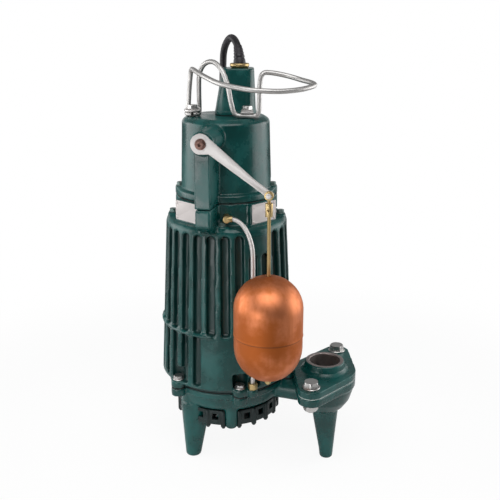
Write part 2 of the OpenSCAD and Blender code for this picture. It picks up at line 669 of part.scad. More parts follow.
module name_plate(turn) rotate([0, 0, turn]) translate([plate_d, -plate_w / 2, neck_top - plate_h - 1])
    difference() {
        cube([plate_t, plate_w, plate_h]);
        for (y = [3, plate_w - 3], z = [3, plate_h - 3]) translate([-1, y, z]) rotate([0, 90, 0])
            cylinder(h = 4, r = 1.1, $fn = 24);
    }
module plate_left() color(steel) stand() name_plate(225);
module plate_right() color(steel) stand() name_plate(315);
module plate_rivets() color(steel) stand() for (turn = [225, 315], y = [3, plate_w - 3], z = [3, plate_h - 3])
    rotate([0, 0, turn]) translate([plate_d + plate_t, y - plate_w / 2, neck_top - plate_h - 1 + z])
        rotate([0, 90, 0]) {
            cylinder(h = 0.8, r1 = 2, r2 = 1.2, $fn = 24);
            translate([0, 0, -plate_t]) cylinder(h = plate_t + little, r = 1, $fn = 24);
        }
module neck_gasket() color(black) stand() difference() {
    union() {
        translate([0, 0, neck_top]) cylinder(h = gasket_t, r = neck_r - 0.5);
        at_switch_bolts(neck_top) cylinder(h = gasket_t, r = switch_lug_r - 0.5);
    }
    translate([0, 0, neck_top - 1]) cylinder(h = gasket_t + 2, r = neck_bore_r);
    at_switch_bolts(neck_top - 1) cylinder(h = gasket_t + 2, r = 3 + bolt_gap);
}

module switch_base() color(black) stand() translate([0, 0, switch_z]) difference() {
    cylinder(h = base_t, r = base_r);
    for (x = [-34, 34]) translate([x, -10, -1]) cylinder(h = base_t + 2, r = 6);
}
module capacitor() color(black) stand() translate([10, 26, switch_z + base_t]) {
    cylinder(h = 68, r = 18);
    for (x = [-7, 7]) translate([x, 0, 68 - little]) cylinder(h = 6, r = 1.5);
}
// Switch with the bracket that it stands on, under the cam
module float_switch() color(black) stand() pivot_frame() {
    translate([-14, -44, pivot_z - 44]) cube([28, 20, 27]);
    translate([-14, -24 - little, switch_z + base_t]) cube([28, 3, pivot_z - 17 - switch_z - base_t]);
    translate([-14, -24, switch_z + base_t]) cube([28, 18, 3]);
}
module switch_case() color(green) stand() difference() {
    union() {
        translate([0, 0, switch_z]) rotate_extrude() polygon([[0, 0], [neck_r, 0], [neck_r, switch_flange_t - 2],
            [neck_r - 2, switch_flange_t], [switch_foot_r, switch_flange_t],
            [switch_top_r, switch_case_h - 7], [switch_top_r - 2, switch_case_h - 4],
            [switch_top_r - 8, switch_case_h], [0, switch_case_h]]);
        at_switch_bolts(switch_z) cylinder(h = switch_flange_t, r = switch_lug_r);
        pivot_frame() translate([-column_w / 2 - column_side, -column_d, switch_z + face_gap])
            cube([column_w, column_d - switch_in_r + 6, pivot_z - switch_z - face_gap]);
        pivot_frame() along_pivot(switch_in_r - 6) cylinder(h = boss_face - switch_in_r + 6, r = boss_r);
    }
    translate([0, 0, switch_z - 1]) cylinder(h = switch_case_h - deck_t + 1, r = switch_in_r);
    translate([0, 0, switch_z - 1]) cylinder(h = base_t + 1 + seat_gap, r = base_r + seat_gap);
    pivot_frame() along_pivot(10) cylinder(h = boss_face, r = bushing_r + seat_gap);
    at_switch_bolts(switch_z - 1) cylinder(h = 20, r = 3 + bolt_gap);
    at_switch_bolts(switch_z + switch_flange_t) cylinder(h = 12, r = switch_lug_r + face_gap);
    translate([gland_pos[0], gland_pos[1], deck_z - 1]) cylinder(h = 20, r = gland_thread_r);
    for (q = [left_bolt, ear_pos, back_ear_pos]) translate([q[0], q[1], deck_z + 1])
        cylinder(h = 20, r = 4 + seat_gap);
}
module switch_case_bolts() color(steel) stand() at_switch_bolts(switch_z + switch_flange_t)
    bolt(3, switch_flange_t + gasket_t + 14, 5);

module pivot_bushing() color(brass) stand() pivot_frame() along_pivot(cam_d + cam_t + face_gap)
    ring(bushing_r, pivot_r + run_gap, boss_end - cam_d - cam_t - face_gap);
module pivot_shaft() color(steel) stand() pivot_frame() difference() {
    along_pivot(shaft_in) cylinder(h = arm_d + arm_t - shaft_in - 0.2, r = pivot_r);
    along_pivot(arm_d - 8) cylinder(h = 20, r = 2 + seat_gap);
}
module switch_cam() color(brass) stand() pivot_frame() along_pivot(cam_d) linear_extrude(cam_t) difference() {
    union() {
        circle(r = cam_r);
        polygon([[-cam_r, 0], [-4, -15], [4, -15], [cam_r, 0]]);
    }
    circle(r = pivot_r + run_gap / 2);
}
module float_arm() color(steel) stand() pivot_frame() along_pivot(arm_d) linear_extrude(arm_t)
    rotate(-arm_slope) difference() {
        union() {
            circle(r = arm_hub_r);
            translate([0, -arm_w / 2]) square([arm_len, arm_w]);
            polygon([[arm_hub_r * 0.3, -arm_hub_r * 0.95], [arm_hub_r * 2.4, -arm_w / 2],
                [arm_hub_r * 2.4, arm_w / 2], [arm_hub_r * 0.3, arm_hub_r * 0.95]]);
            translate([arm_len, 0]) circle(r = arm_w / 2 + 1);
        }
        circle(r = pivot_r + run_gap / 2);
        translate([arm_len, 0]) circle(r = pin_r + run_gap / 2);
    }
module arm_bolt() color(steel) stand() pivot_frame() difference() {
    union() {
        along_pivot(arm_d + arm_t) cylinder(h = 1, r = 7.5);
        along_pivot(arm_d + arm_t + 1 - little) hex(6.4, 4);
        along_pivot(arm_d - 7) cylinder(h = arm_t + 8, r = 2);
    }
    along_pivot(arm_d + arm_t + 3) hex(2.6, 4);
}
module at_arm_end(d) pivot_frame() translate([arm_reach, 0, -arm_drop]) along_pivot(d) children();
module rod_pin() color(steel) stand() {
    at_arm_end(arm_d - 1.5) cylinder(h = 1.5, r = pin_r + 1.8);
    at_arm_end(arm_d - 1) cylinder(h = arm_t + face_gap * 2 + eye_t + 2, r = pin_r);
    at_arm_end(eye_d + eye_t + face_gap) cylinder(h = 1.5, r = pin_r + 1.8);
}
module on_rod(z) pivot_frame() translate([arm_reach, -rod_d, z]) children();
rod_foot = float_z - face_gap - washer_t - nut_h - 2;
module float_rod() color(brass) stand() difference() {
    union() {
        at_arm_end(eye_d) cylinder(h = eye_t, r = eye_r);
        on_rod(rod_foot) cylinder(h = eye_z - eye_r / 2 - rod_foot, r = rod_r);
    }
    at_arm_end(eye_d - 5) cylinder(h = 20, r = pin_r + run_gap);
}
module rod_collar() color(brass) stand() on_rod(collar_z) difference() {
    ring(5, rod_r + run_gap / 2, collar_h);
    translate([0, 0, collar_h / 2]) rotate([90, 0, 0]) cylinder(h = 10, r = 1.5);
}
module rod_nuts() color(brass) stand() {
    on_rod(float_z - face_gap - washer_t) ring(7, rod_r + run_gap / 2, washer_t);
    on_rod(float_z - face_gap - washer_t - nut_h) difference() {
        hex(4.6, nut_h);
        translate([0, 0, -1]) cylinder(h = nut_h + 2, r = rod_r + run_gap / 2);
    }
}
// A float half as a shell: r and h of its dome, and the straight height from the dome to the seam
module float_shell(h, straight) difference() {
    rotate_extrude($fn = 96) polygon(concat(
        [for (a = [0:7.5:90]) [float_r * sin(a), h * (1 - cos(a))]],
        [[float_r, h + straight], [float_r - float_wall, h + straight]],
        [for (a = [90:-7.5:0]) [(float_r - float_wall) * sin(a),
            float_wall + (h - float_wall) * (1 - cos(a))]]));
    translate([0, 0, -1]) cylinder(h = 20, r = sleeve_r[1] + seat_gap);
}
module float_lower_half() color(copper) stand() on_rod(float_z)
    float_shell(lower_dome_h, seam_z - float_z - lower_dome_h);
module float_upper_half() color(copper) stand() on_rod(float_top) mirror([0, 0, 1])
    float_shell(dome_h, float_top - dome_h - seam_z);
module float_sleeve() color(brass) stand() on_rod(float_z) ring(sleeve_r[1], sleeve_r[0], float_h);

module side_tube() color(steel) stand() even_tube(smooth(tube_route, 3), tube_r, 12);
module tube_fittings() color(brass) stand() {
    difference() {
        union() {
            at(fitting_turn, neck_r - 7, fitting_z) rotate([0, 90, 0]) cylinder(h = 8, r = 3.5);
            at(fitting_turn, neck_r, fitting_z) rotate([0, 90, 0]) cylinder(h = 15, r = 5);
            translate([tube_start[0], tube_start[1], fitting_z]) rotate([0, 90, 0])
                cylinder(h = tube_socket, r = 4.8);
        }
        translate([tube_start[0] - seat_gap, tube_start[1], fitting_z]) rotate([0, 90, 0])
            cylinder(h = tube_socket + 3, r = tube_r + face_gap);
    }
    at(tube_turn, tube_d, flange_top) difference() {
        hex(7, 9);
        translate([0, 0, -1]) cylinder(h = 12, r = tube_r + seat_gap);
    }
}

module flange_gasket() color(black) stand() difference() {
    at_discharge(discharge_z) rotate([0, 0, flange_turn]) linear_extrude(gasket_t)
        flange_outline(flange_mid_r - 0.5, flange_end_r - 0.5, flange_bolt_d);
    at_discharge(discharge_z - 1) cylinder(h = gasket_t + 2, r = passage_r);
    at_flange_bolts(discharge_z - 1) cylinder(h = gasket_t + 2, r = 6.35 + bolt_gap);
}
upper_flange_z = discharge_z + gasket_t;
module discharge_flange() color(green) stand() difference() {
    union() {
        at_discharge(upper_flange_z) rotate([0, 0, flange_turn]) linear_extrude(upper_flange_t)
            flange_outline(flange_mid_r, flange_end_r, flange_bolt_d);
        at_discharge(upper_flange_z) rotate_extrude() polygon([[0, 0], [pipe_hub_r + 6, 0],
            [pipe_hub_r + 6, upper_flange_t], [pipe_hub_r + 1, upper_flange_t + 4],
            [pipe_hub_r, upper_flange_t + pipe_hub_h - 1], [pipe_hub_r - 1, upper_flange_t + pipe_hub_h],
            [0, upper_flange_t + pipe_hub_h]]);
    }
    at_discharge(upper_flange_z - 1) cylinder(h = 100, r = pipe_r);
    at_flange_bolts(upper_flange_z - 1) cylinder(h = 60, r = 6.35 + bolt_gap);
}
module flange_bolts() color(steel) stand() {
    at_flange_bolts(upper_flange_z + upper_flange_t) {
        ring(13, 6, 2);
        translate([0, 0, 2 - little]) hex(11, 8);
    }
    at_flange_bolts(discharge_z - lower_flange_t - 11) hex(11, 11);
    at_flange_bolts(discharge_z - lower_flange_t - 15)
        cylinder(h = 18 + lower_flange_t + gasket_t + upper_flange_t, r = 6.35);
}

// Square with round corners, in the plane
module round_square(w, r) {
    square([w, w - 2 * r], center = true);
    square([w - 2 * r, w], center = true);
    for (x = [r - w / 2, w / 2 - r], y = [r - w / 2, w / 2 - r]) translate([x, y]) circle(r = r);
}
back_ear_pos = [8, 46];
ear_top = switch_top + ear_h;
module cap_gasket() color(black) stand() difference() {
    translate([cap_pos[0], cap_pos[1], switch_top]) linear_extrude(gasket_t) round_square(cap_w - 1, 20);
    translate([gland_pos[0], gland_pos[1], switch_top - 1]) cylinder(h = gasket_t + 2, r = 16);
    for (q = [ear_pos, back_ear_pos]) translate([q[0], q[1], switch_top - 1])
        cylinder(h = gasket_t + 2, r = 4 + bolt_gap);
}
module cord_cap() color(green) stand() difference() {
    union() {
        translate([cap_pos[0], cap_pos[1], cap_z]) linear_extrude(5) round_square(cap_w, 20);
        hull() {
            translate([cap_pos[0], cap_pos[1], cap_z + 4]) linear_extrude(1) round_square(cap_w - 1, 20, $fn = 32);
            translate([cap_pos[0] + 4, cap_pos[1], cap_top - 2]) linear_extrude(1)
                round_square(cap_top_w, 12, $fn = 32);
            translate([cap_pos[0] + 4, cap_pos[1], cap_top - 1]) linear_extrude(1)
                round_square(cap_top_w - 3, 11, $fn = 32);
        }
        for (q = [ear_pos, back_ear_pos]) translate([q[0], q[1], cap_z]) cylinder(h = ear_top - cap_z, r = ear_r);
        translate([ear_pos[0] - ear_r, ear_pos[1], cap_z]) cube([ear_r * 2, 16, ear_top - cap_z]);
    }
    translate([gland_pos[0], gland_pos[1], cap_z - 1]) cylinder(h = cap_h - 15, r1 = 16, r2 = 13);
    translate([gland_pos[0], gland_pos[1], cap_z]) cylinder(h = cap_h + 2, r = gland_thread_r + seat_gap);
    for (q = [ear_pos, back_ear_pos]) translate([q[0], q[1], cap_z - 1]) {
        cylinder(h = 30, r = 4 + bolt_gap);
        translate([0, 0, ear_top - cap_z + 1]) cylinder(h = 14, r = ear_r);
    }
}
module cap_screw() color(steel) stand() translate([back_ear_pos[0], back_ear_pos[1], ear_top]) bolt(4, 15, 6);
module cord_gland() color(brass) stand() translate([gland_pos[0], gland_pos[1], cap_top]) difference() {
    rotate_extrude() polygon([[0, -13], [gland_thread_r, -13], [gland_thread_r, 0], [gland_r - 2, 0],
        [gland_r, gland_h - 4], [gland_r, gland_h - 1], [gland_r - 1, gland_h], [0, gland_h]]);
    translate([0, 0, -14]) cylinder(h = 40, r = relief_r + seat_gap);
}
function in_plane(turn) = [cos(turn), sin(turn), 0];
function ahead(turn) = [-sin(turn), cos(turn), 0];
coil_end_turn = coil_start + 360 * coil_turns;
coil_foot = [coil_pos[0], coil_pos[1], cord_r];
coil_in = coil_foot + coil_out_r * in_plane(coil_start) - 2 * cord_r * ahead(coil_start);
coil_out = coil_foot + [0, 0, (coil_layers - 1) * coil_pitch] + coil_out_r * in_plane(coil_end_turn)
    + 2 * cord_r * ahead(coil_end_turn);
cord_line = concat([[gland_pos[0], gland_pos[1], cap_top - 8]], smooth(concat(cord_route, [coil_in]), cord_steps));
relief_end = 1 + relief_points * cord_steps;
module strain_relief() color(black) stand()
    swept(cord_line, [for (i = [0:len(cord_line) - 1]) i < 2 ? relief_r :
        max(cord_r + 0.8, relief_r - (relief_r - cord_r - 0.8) * (i - 1) / (relief_end - 1))], 12, 0, relief_end);

module guard_wire() color(steel) stand() even_tube(smooth(wire_route, 2), wire_r, 12);
module guard_clips() color(steel) stand() {
    translate([left_bolt[0], left_bolt[1], ear_top]) ring(washer_r, 4 + bolt_gap, clip_t);
    translate([ear_pos[0], ear_pos[1], ear_top]) difference() {
        union() {
            translate([-clip_r, -20, 0]) cube([clip_r * 2, 20, clip_t]);
            cylinder(h = clip_t, r = clip_r);
        }
        translate([0, 0, -1]) cylinder(h = clip_t + 2, r = 4 + bolt_gap);
    }
}
module guard_bolts() color(steel) stand() for (q = [left_bolt, ear_pos])
    translate([q[0], q[1], ear_top + clip_t]) bolt(4, clip_t + ear_h + 9, 6);

// Power cord. The coil spirals in and out and climbs a layer in the half turn where it reverses
function folded(t) = t % (2 * layer_turns) < layer_turns ? t % layer_turns : layer_turns - t % layer_turns;
function climbed(t, k = 1) = k >= coil_layers ? 0
    : min(1, max(0, 2 * (t - k * layer_turns) + 0.5)) + climbed(t, k + 1);
function coil_point(t) = coil_foot + (coil_out_r - coil_pitch * folded(t)) * in_plane(coil_start + 360 * t)
    + [0, 0, coil_pitch * climbed(t)];
loop_rings = 24;
coil_line = concat([coil_in], [for (k = [0:loop_rings * coil_turns]) coil_point(k / loop_rings)], [coil_out]);
coil_gap = min([for (i = [1:len(coil_line) - 2], j = [i + loop_rings / 2:len(coil_line) - 2])
    norm(coil_line[i] - coil_line[j])]) - 2 * cord_r;
module power_cord() color(black) stand()
    swept(cord_line, [for (q = cord_line) cord_r], 8, relief_end, len(cord_line) - 1);
module cord_coil() color(black) stand() {
    echo(least_gap_between_turns = coil_gap);
    even_tube(coil_line, cord_r, 6);
}
module cord_tail() color(black) stand()
    even_tube(smooth(concat([coil_out], tail_route, [plug_pos]), 2), cord_r, 8);
module plug_body() color(black) stand() translate(plug_pos) rotate([0, -90, 0]) {
    cylinder(h = 8 + little, r1 = cord_r + 2, r2 = 11);
    translate([0, 0, 8]) linear_extrude(plug_len - 8) {
        square([plug_t, plug_w - plug_t], center = true);
        for (y = [-1, 1]) translate([0, y * (plug_w - plug_t) / 2]) circle(r = plug_t / 2);
    }
}
module plug_pins() color(brass) stand() translate([plug_pos[0] - plug_len, plug_pos[1], plug_pos[2]]) {
    for (y = [-6.3, 6.3]) translate([-17, y - 0.8, -6]) cube([17, 1.6, 6.4]);
    translate([-19, 0, 7.5]) rotate([0, 90, 0]) cylinder(h = 19, r = 2.4);
}

pump_case();
strainer_base();
strainer_screws();
impeller();
impeller_nut();
motor_shaft();
rotor_core();
shaft_seal();
lower_bearing();
seal_plate();
case_gasket();
motor_housing();
case_bolts();
stator_core();
stator_windings();
upper_bracket();
upper_bearing();
shoulder_screws();
plate_left();
plate_right();
plate_rivets();
neck_gasket();
switch_base();
capacitor();
float_switch();
switch_case();
switch_case_bolts();
pivot_bushing();
pivot_shaft();
switch_cam();
float_arm();
arm_bolt();
rod_pin();
float_rod();
rod_collar();
rod_nuts();
float_upper_half();
float_lower_half();
float_sleeve();
side_tube();
tube_fittings();
flange_gasket();
discharge_flange();
flange_bolts();
cap_gasket();
cord_cap();
cap_screw();
cord_gland();
strain_relief();
guard_wire();
guard_clips();
guard_bolts();
power_cord();
cord_coil();
cord_tail();
plug_body();
plug_pins();
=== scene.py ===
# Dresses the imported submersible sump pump: camera and cord first, then castings, metalwork, float and strainer
import json
import math

import bmesh
import bpy
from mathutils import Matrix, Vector


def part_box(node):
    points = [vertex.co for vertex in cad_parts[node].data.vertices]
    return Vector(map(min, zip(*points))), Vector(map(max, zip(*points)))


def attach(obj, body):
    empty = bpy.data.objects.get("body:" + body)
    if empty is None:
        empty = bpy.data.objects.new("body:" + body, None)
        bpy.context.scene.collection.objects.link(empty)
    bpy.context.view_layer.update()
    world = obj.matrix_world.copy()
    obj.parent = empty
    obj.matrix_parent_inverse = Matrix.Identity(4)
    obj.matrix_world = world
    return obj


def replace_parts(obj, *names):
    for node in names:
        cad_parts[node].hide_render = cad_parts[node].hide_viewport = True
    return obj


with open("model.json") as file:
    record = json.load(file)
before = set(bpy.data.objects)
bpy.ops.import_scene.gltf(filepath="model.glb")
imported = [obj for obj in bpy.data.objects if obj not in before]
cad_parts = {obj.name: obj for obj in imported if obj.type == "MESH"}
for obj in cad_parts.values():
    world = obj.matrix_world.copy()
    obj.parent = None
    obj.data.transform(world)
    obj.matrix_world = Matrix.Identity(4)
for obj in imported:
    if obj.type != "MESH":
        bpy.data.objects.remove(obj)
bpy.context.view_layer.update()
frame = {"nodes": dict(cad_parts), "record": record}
nodes = frame["nodes"]
scene = bpy.context.scene
mm = 0.001
shaftLow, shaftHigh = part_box("motor_shaft")
motorAxis = Vector(((shaftLow.x + shaftHigh.x) / 2, (shaftLow.y + shaftHigh.y) / 2, 0))
print("frame loaded with", len(nodes), "nodes")


def fromAxis(x, y, z):
    # a point given in millimetres from the motor's axis
    return motorAxis + Vector((x, y, z)) * mm


def polar(turn, distance, z):
    return fromAxis(distance * math.cos(math.radians(turn)), distance * math.sin(math.radians(turn)), z)


# Camera
camera = {"place": (35, -1150, 667), "pitch": 73.2, "lens": 56.9, "sensor": 36, "far": 20}
cameraData = bpy.data.cameras.new("camera")
cameraData.lens = camera["lens"]
cameraData.sensor_width = camera["sensor"]
cameraData.clip_end = camera["far"]
cameraObject = bpy.data.objects.new("camera", cameraData)
cameraObject.location = fromAxis(*camera["place"])
cameraObject.rotation_euler = (math.radians(camera["pitch"]), 0, 0)
scene.collection.objects.link(cameraObject)
scene.camera = cameraObject


# Node helpers: a tree is found from the sockets that are given
def put(tree, kind, given=None, **settings):
    node = tree.nodes.new(kind)
    for key, value in settings.items():
        setattr(node, key, value)
    for key, value in (given or {}).items():
        if isinstance(value, bpy.types.NodeSocket):
            tree.links.new(value, node.inputs[key])
        else:
            node.inputs[key].default_value = value
    return node.outputs


def maths(operation, a, b=None):
    tree = (a if isinstance(a, bpy.types.NodeSocket) else b).id_data
    return put(tree, "ShaderNodeMath", {0: a} if b is None else {0: a, 1: b}, operation=operation)[0]


def plus(a, b):
    return maths("ADD", a, b)


def minus(a, b):
    return maths("SUBTRACT", a, b)


def times(a, b):
    return maths("MULTIPLY", a, b)


def over(a, b):
    return maths("DIVIDE", a, b)


def ramp(source, low, high, lowValue=0.0, highValue=1.0):
    given = {"Value": source, "From Min": low, "From Max": high, "To Min": lowValue, "To Max": highValue}
    outputs = put(source.id_data, "ShaderNodeMapRange", given, clamp=True, interpolation_type="SMOOTHSTEP")
    return outputs["Result"]


def blendColour(factor, a, b):
    first, second = (c if isinstance(c, bpy.types.NodeSocket) else (*c, 1) for c in (a, b))
    return put(factor.id_data, "ShaderNodeMix", {0: factor, 6: first, 7: second}, data_type="RGBA")[2]


def objectPlace(tree):
    return put(tree, "ShaderNodeTexCoord")["Object"]


def split(vector):
    return put(vector.id_data, "ShaderNodeSeparateXYZ", {0: vector})


def vectorMaths(operation, a, b=None):
    return put(a.id_data, "ShaderNodeVectorMath", {0: a} if b is None else {0: a, 1: b}, operation=operation)


def noiseOf(place, scale, detail=3.0, rough=0.5, stretch=None):
    if stretch:
        place = put(place.id_data, "ShaderNodeMapping", {"Vector": place, "Scale": stretch})["Vector"]
    given = {"Vector": place, "Scale": scale, "Detail": detail, "Roughness": rough}
    return put(place.id_data, "ShaderNodeTexNoise", given)["Fac"]


def addSockets(tree, inputs):
    kinds = {float: "NodeSocketFloat", int: "NodeSocketInt", tuple: "NodeSocketVector"}
    for label, value in inputs.items():
        kind = kinds.get(type(value), "NodeSocketMaterial")
        socket = tree.interface.new_socket(name=label, in_out="INPUT", socket_type=kind)
        if value is not None:
            socket.default_value = value


# Shader groups
def shaderGroup(name, inputs, outputs):
    tree = bpy.data.node_groups.new(name, "ShaderNodeTree")
    addSockets(tree, inputs)
    for label in outputs:
        tree.interface.new_socket(name=label, in_out="OUTPUT", socket_type="NodeSocketFloat")
    return tree, tree.nodes.new("NodeGroupInput").outputs, tree.nodes.new("NodeGroupOutput").inputs


def makeCastGrain():
    # the skin of a sand casting under paint: sand grain, broad dents, and runs of thicker paint
    patches = {"scale": 22, "detail": 4, "rough": 0.6, "edges": (0.38, 0.66)}
    tree, given, out = shaderGroup(
        "castGrain", {"Grain Scale": 900.0, "Grain Amount": 0.35, "Dent Scale": 60.0, "Dent Amount": 1.0},
        ("Height", "Patches"))
    place = objectPlace(tree)
    grain = times(noiseOf(place, given["Grain Scale"], 2), given["Grain Amount"])
    dents = times(noiseOf(place, given["Dent Scale"], 3, 0.45), given["Dent Amount"])
    tree.links.new(plus(grain, dents), out["Height"])
    spread = noiseOf(place, patches["scale"], patches["detail"], patches["rough"])
    tree.links.new(ramp(spread, *patches["edges"]), out["Patches"])
    return tree


def makeEdgeWearAndShade():
    # where corners stand out, for thin paint and bright rubbed metal, and where hollows sink in, for painted shade
    breaks, cavityShade = (0.35, 0.65), (0.49, 0.42)
    tree, given, out = shaderGroup(
        "edgeWearAndShade", {"Start": 0.53, "Full": 0.6, "Break Scale": 240.0}, ("Mask", "Cavity Shade"))
    point = put(tree, "ShaderNodeNewGeometry")["Pointiness"]
    edge = ramp(point, given["Start"], given["Full"])
    broken = ramp(noiseOf(objectPlace(tree), given["Break Scale"], 3, 0.6), *breaks)
    tree.links.new(times(edge, broken), out["Mask"])
    tree.links.new(ramp(point, *cavityShade), out["Cavity Shade"])
    return tree


def makeBrushed():
    # fine lines of brushed or drawn metal, run along one of the three directions by stretching
    smears = {"scale": 35, "detail": 4, "rough": 0.6, "edges": (0.35, 0.7)}
    tree, given, out = shaderGroup("brushedLines", {"Stretch": (40.0, 900.0, 900.0)}, ("Lines", "Smears"))
    place = objectPlace(tree)
    scaled = vectorMaths("MULTIPLY", place, given["Stretch"])[0]
    tree.links.new(noiseOf(scaled, 1.0, 3, 0.6), out["Lines"])
    spread = noiseOf(place, smears["scale"], smears["detail"], smears["rough"])
    tree.links.new(ramp(spread, *smears["edges"]), out["Smears"])
    return tree


def makeDust():
    # pale dust that settles on faces that look up
    facing, flecks = (0.55, 1.0), {"scale": 420, "detail": 5, "rough": 0.7, "edges": (0.4, 0.75)}
    tree, given, out = shaderGroup("settledDust", {"Amount": 0.5}, ("Mask",))
    level = ramp(split(put(tree, "ShaderNodeNewGeometry")["Normal"])["Z"], *facing)
    spread = noiseOf(objectPlace(tree), flecks["scale"], flecks["detail"], flecks["rough"])
    both = times(level, ramp(spread, *flecks["edges"]))
    tree.links.new(times(both, given["Amount"]), out["Mask"])
    return tree


castGrain, edgeWearAndShade, brushedLines, settledDust = makeCastGrain(), makeEdgeWearAndShade(), makeBrushed(), makeDust()


# Materials
def useGroup(tree, group, **values):
    return put(tree, "ShaderNodeGroup", {key.replace("_", " "): value for key, value in values.items()},
               node_tree=group)


def newMaterial(name, **fixed):
    material = bpy.data.materials.new(name)
    material.use_nodes = True
    tree = material.node_tree
    shader = tree.nodes["Principled BSDF"]
    for key, value in fixed.items():
        shader.inputs[key.replace("_", " ")].default_value = value
    return material, tree, shader


def finishShader(shader, colour, rough, height, distance, strength):
    tree = colour.id_data
    tree.links.new(colour, shader.inputs["Base Color"])
    tree.links.new(rough, shader.inputs["Roughness"])
    given = {"Height": height, "Distance": distance, "Strength": strength}
    tree.links.new(put(tree, "ShaderNodeBump", given)["Normal"], shader.inputs["Normal"])


def makeEnamel(name, slotShade=None):
    look = {"deep": (0.0004, 0.034, 0.031), "thin": (0.001, 0.064, 0.059),
            "shadeColour": (0.0004, 0.016, 0.0148), "shadeShare": 0.7, "rub": (0.05, 0.12, 0.11), "rubShare": 0.5,
            "dust": (0.1, 0.17, 0.16), "dustShare": 0.12, "grainShare": 0.12, "bump": (0.0009, 0.5),
            "rough": (0.24, 0.36), "gloss": 0.42}
    material, tree, shader = newMaterial(name, Specular_IOR_Level=look["gloss"])
    grain = useGroup(tree, castGrain, Grain_Amount=look["grainShare"])
    wearAndShade = useGroup(tree, edgeWearAndShade)
    dust = useGroup(tree, settledDust, Amount=look["dustShare"])
    rough = ramp(grain["Patches"], 0, 1, *look["rough"])
    colour = blendColour(grain["Patches"], look["deep"], look["thin"])
    # painted shade: the hollows that pointiness finds are darkened towards a deeper green
    colour = blendColour(times(wearAndShade["Cavity Shade"], look["shadeShare"]), colour, look["shadeColour"])
    colour = blendColour(times(wearAndShade["Mask"], look["rubShare"]), colour, look["rub"])
    colour = blendColour(dust["Mask"], colour, look["dust"])
    if slotShade:
        # painted shade and duller paint on the floors of the cooling slots, which lean in with the casting's draft
        place = vectorMaths("SUBTRACT", objectPlace(tree), motorAxis)[0]
        out = vectorMaths("LENGTH", vectorMaths("MULTIPLY", place, (1, 1, 0))[0])["Value"]
        height = split(place)["Z"]
        deep = ramp(plus(out, times(height, slotShade["lean"])), slotShade["edge"], slotShade["floor"])
        deep = times(deep, ramp(height, slotShade["top"] + slotShade["fade"], slotShade["top"]))
        colour = blendColour(times(deep, slotShade["dark"]), colour, look["shadeColour"])
        rough = plus(rough, times(deep, slotShade["dull"]))
    finishShader(shader, colour, rough, grain["Height"], *look["bump"])
    return material


# Stretches that run the brushed lines upright, along the bar, or nowhere
upright, lengthwise, allWays = (900, 900, 60), (60, 900, 900), (900, 900, 900)


def makeMetal(name, pale, dark, rough, stretch=upright, metallic=1.0, depth=0.00004, shadeTint=None):
    # pale metal with darker smears and fine lines; painted shade darkens its hollows towards the tint
    look = {"smear": 0.35, "cavityShade": 0.7, "roughLines": 0.12, "bump": 0.6}
    material, tree, shader = newMaterial(name, Metallic=metallic)
    lines = useGroup(tree, brushedLines, Stretch=stretch)
    colour = blendColour(times(lines["Smears"], look["smear"]), pale, dark)
    if shadeTint:
        # painted shade in the hollows
        colour = blendColour(times(useGroup(tree, edgeWearAndShade)["Cavity Shade"], look["cavityShade"]), colour, shadeTint)
    spread = plus(times(lines["Lines"], look["roughLines"]), rough)
    finishShader(shader, colour, spread, lines["Lines"], depth, look["bump"])
    return material


# Height in millimetres of the seam that joins the float's halves
floatSeam = 245


def makeCopper():
    # drawn copper: broad clouds, upright darker streaks that are partly drawn marks and partly painted reflections
    # of dark things in front, small spots and a dark line along the seam
    look = {"bright": (0.55, 0.19, 0.085), "warm": (0.36, 0.1, 0.025), "tarnish": (0.17, 0.065, 0.03),
            "clouds": (17, 5, 0.6), "cloudEdges": (0.36, 0.62), "rough": (0.47, 0.6),
            "reflectionStreaks": (1.0, 3, 0.5, (160, 160, 22)), "reflectionStreakEdges": (0.4, 0.75), "reflectionStreakShare": 0.45,
            "spots": (170, 4, 0.65), "spotEdges": (0.62, 0.78), "spotShare": 0.4,
            "seamEdges": (0.0014, 0.0005), "seamShare": 0.7, "dents": (45, 2, 0.4), "bump": (0.0006, 0.25)}
    material, tree, shader = newMaterial("floatCopper", Metallic=1.0)
    place = objectPlace(tree)
    clouds = ramp(noiseOf(place, *look["clouds"]), *look["cloudEdges"])
    reflectionStreaks = ramp(noiseOf(place, *look["reflectionStreaks"]), *look["reflectionStreakEdges"])
    spots = ramp(noiseOf(place, *look["spots"]), *look["spotEdges"])
    colour = blendColour(clouds, look["bright"], look["warm"])
    # partly painted reflection: upright darker streaks standing in for dark things mirrored from in front
    colour = blendColour(times(reflectionStreaks, look["reflectionStreakShare"]), colour, look["warm"])
    colour = blendColour(times(spots, look["spotShare"]), colour, look["tarnish"])
    offSeam = maths("ABSOLUTE", minus(split(place)["Z"], floatSeam * mm))
    colour = blendColour(ramp(offSeam, *look["seamEdges"], 0, look["seamShare"]), colour, look["tarnish"])
    rough = ramp(clouds, 0, 1, *look["rough"])
    finishShader(shader, colour, rough, noiseOf(place, *look["dents"]), *look["bump"])
    return material


def makeRubber(name, colour, pale, rough=0.42, grain=1500.0, depth=0.00008):
    # rubber, plastic or paper: dull where it is handled, with a little dust on top
    look = {"gloss": 0.35, "rubs": 60, "rubEdges": (0.35, 0.7), "dull": 0.14, "dust": (0.1, 0.1, 0.105),
            "dustShare": 0.25, "bump": 0.7}
    material, tree, shader = newMaterial(name, Specular_IOR_Level=look["gloss"])
    place = objectPlace(tree)
    rubbed = ramp(noiseOf(place, look["rubs"], 4, 0.6), *look["rubEdges"])
    dust = useGroup(tree, settledDust, Amount=look["dustShare"])
    tone = blendColour(dust["Mask"], blendColour(rubbed, colour, pale), look["dust"])
    dull = ramp(rubbed, 0, 1, rough, rough + look["dull"])
    finishShader(shader, tone, dull, noiseOf(place, grain, 3), depth, look["bump"])
    return material
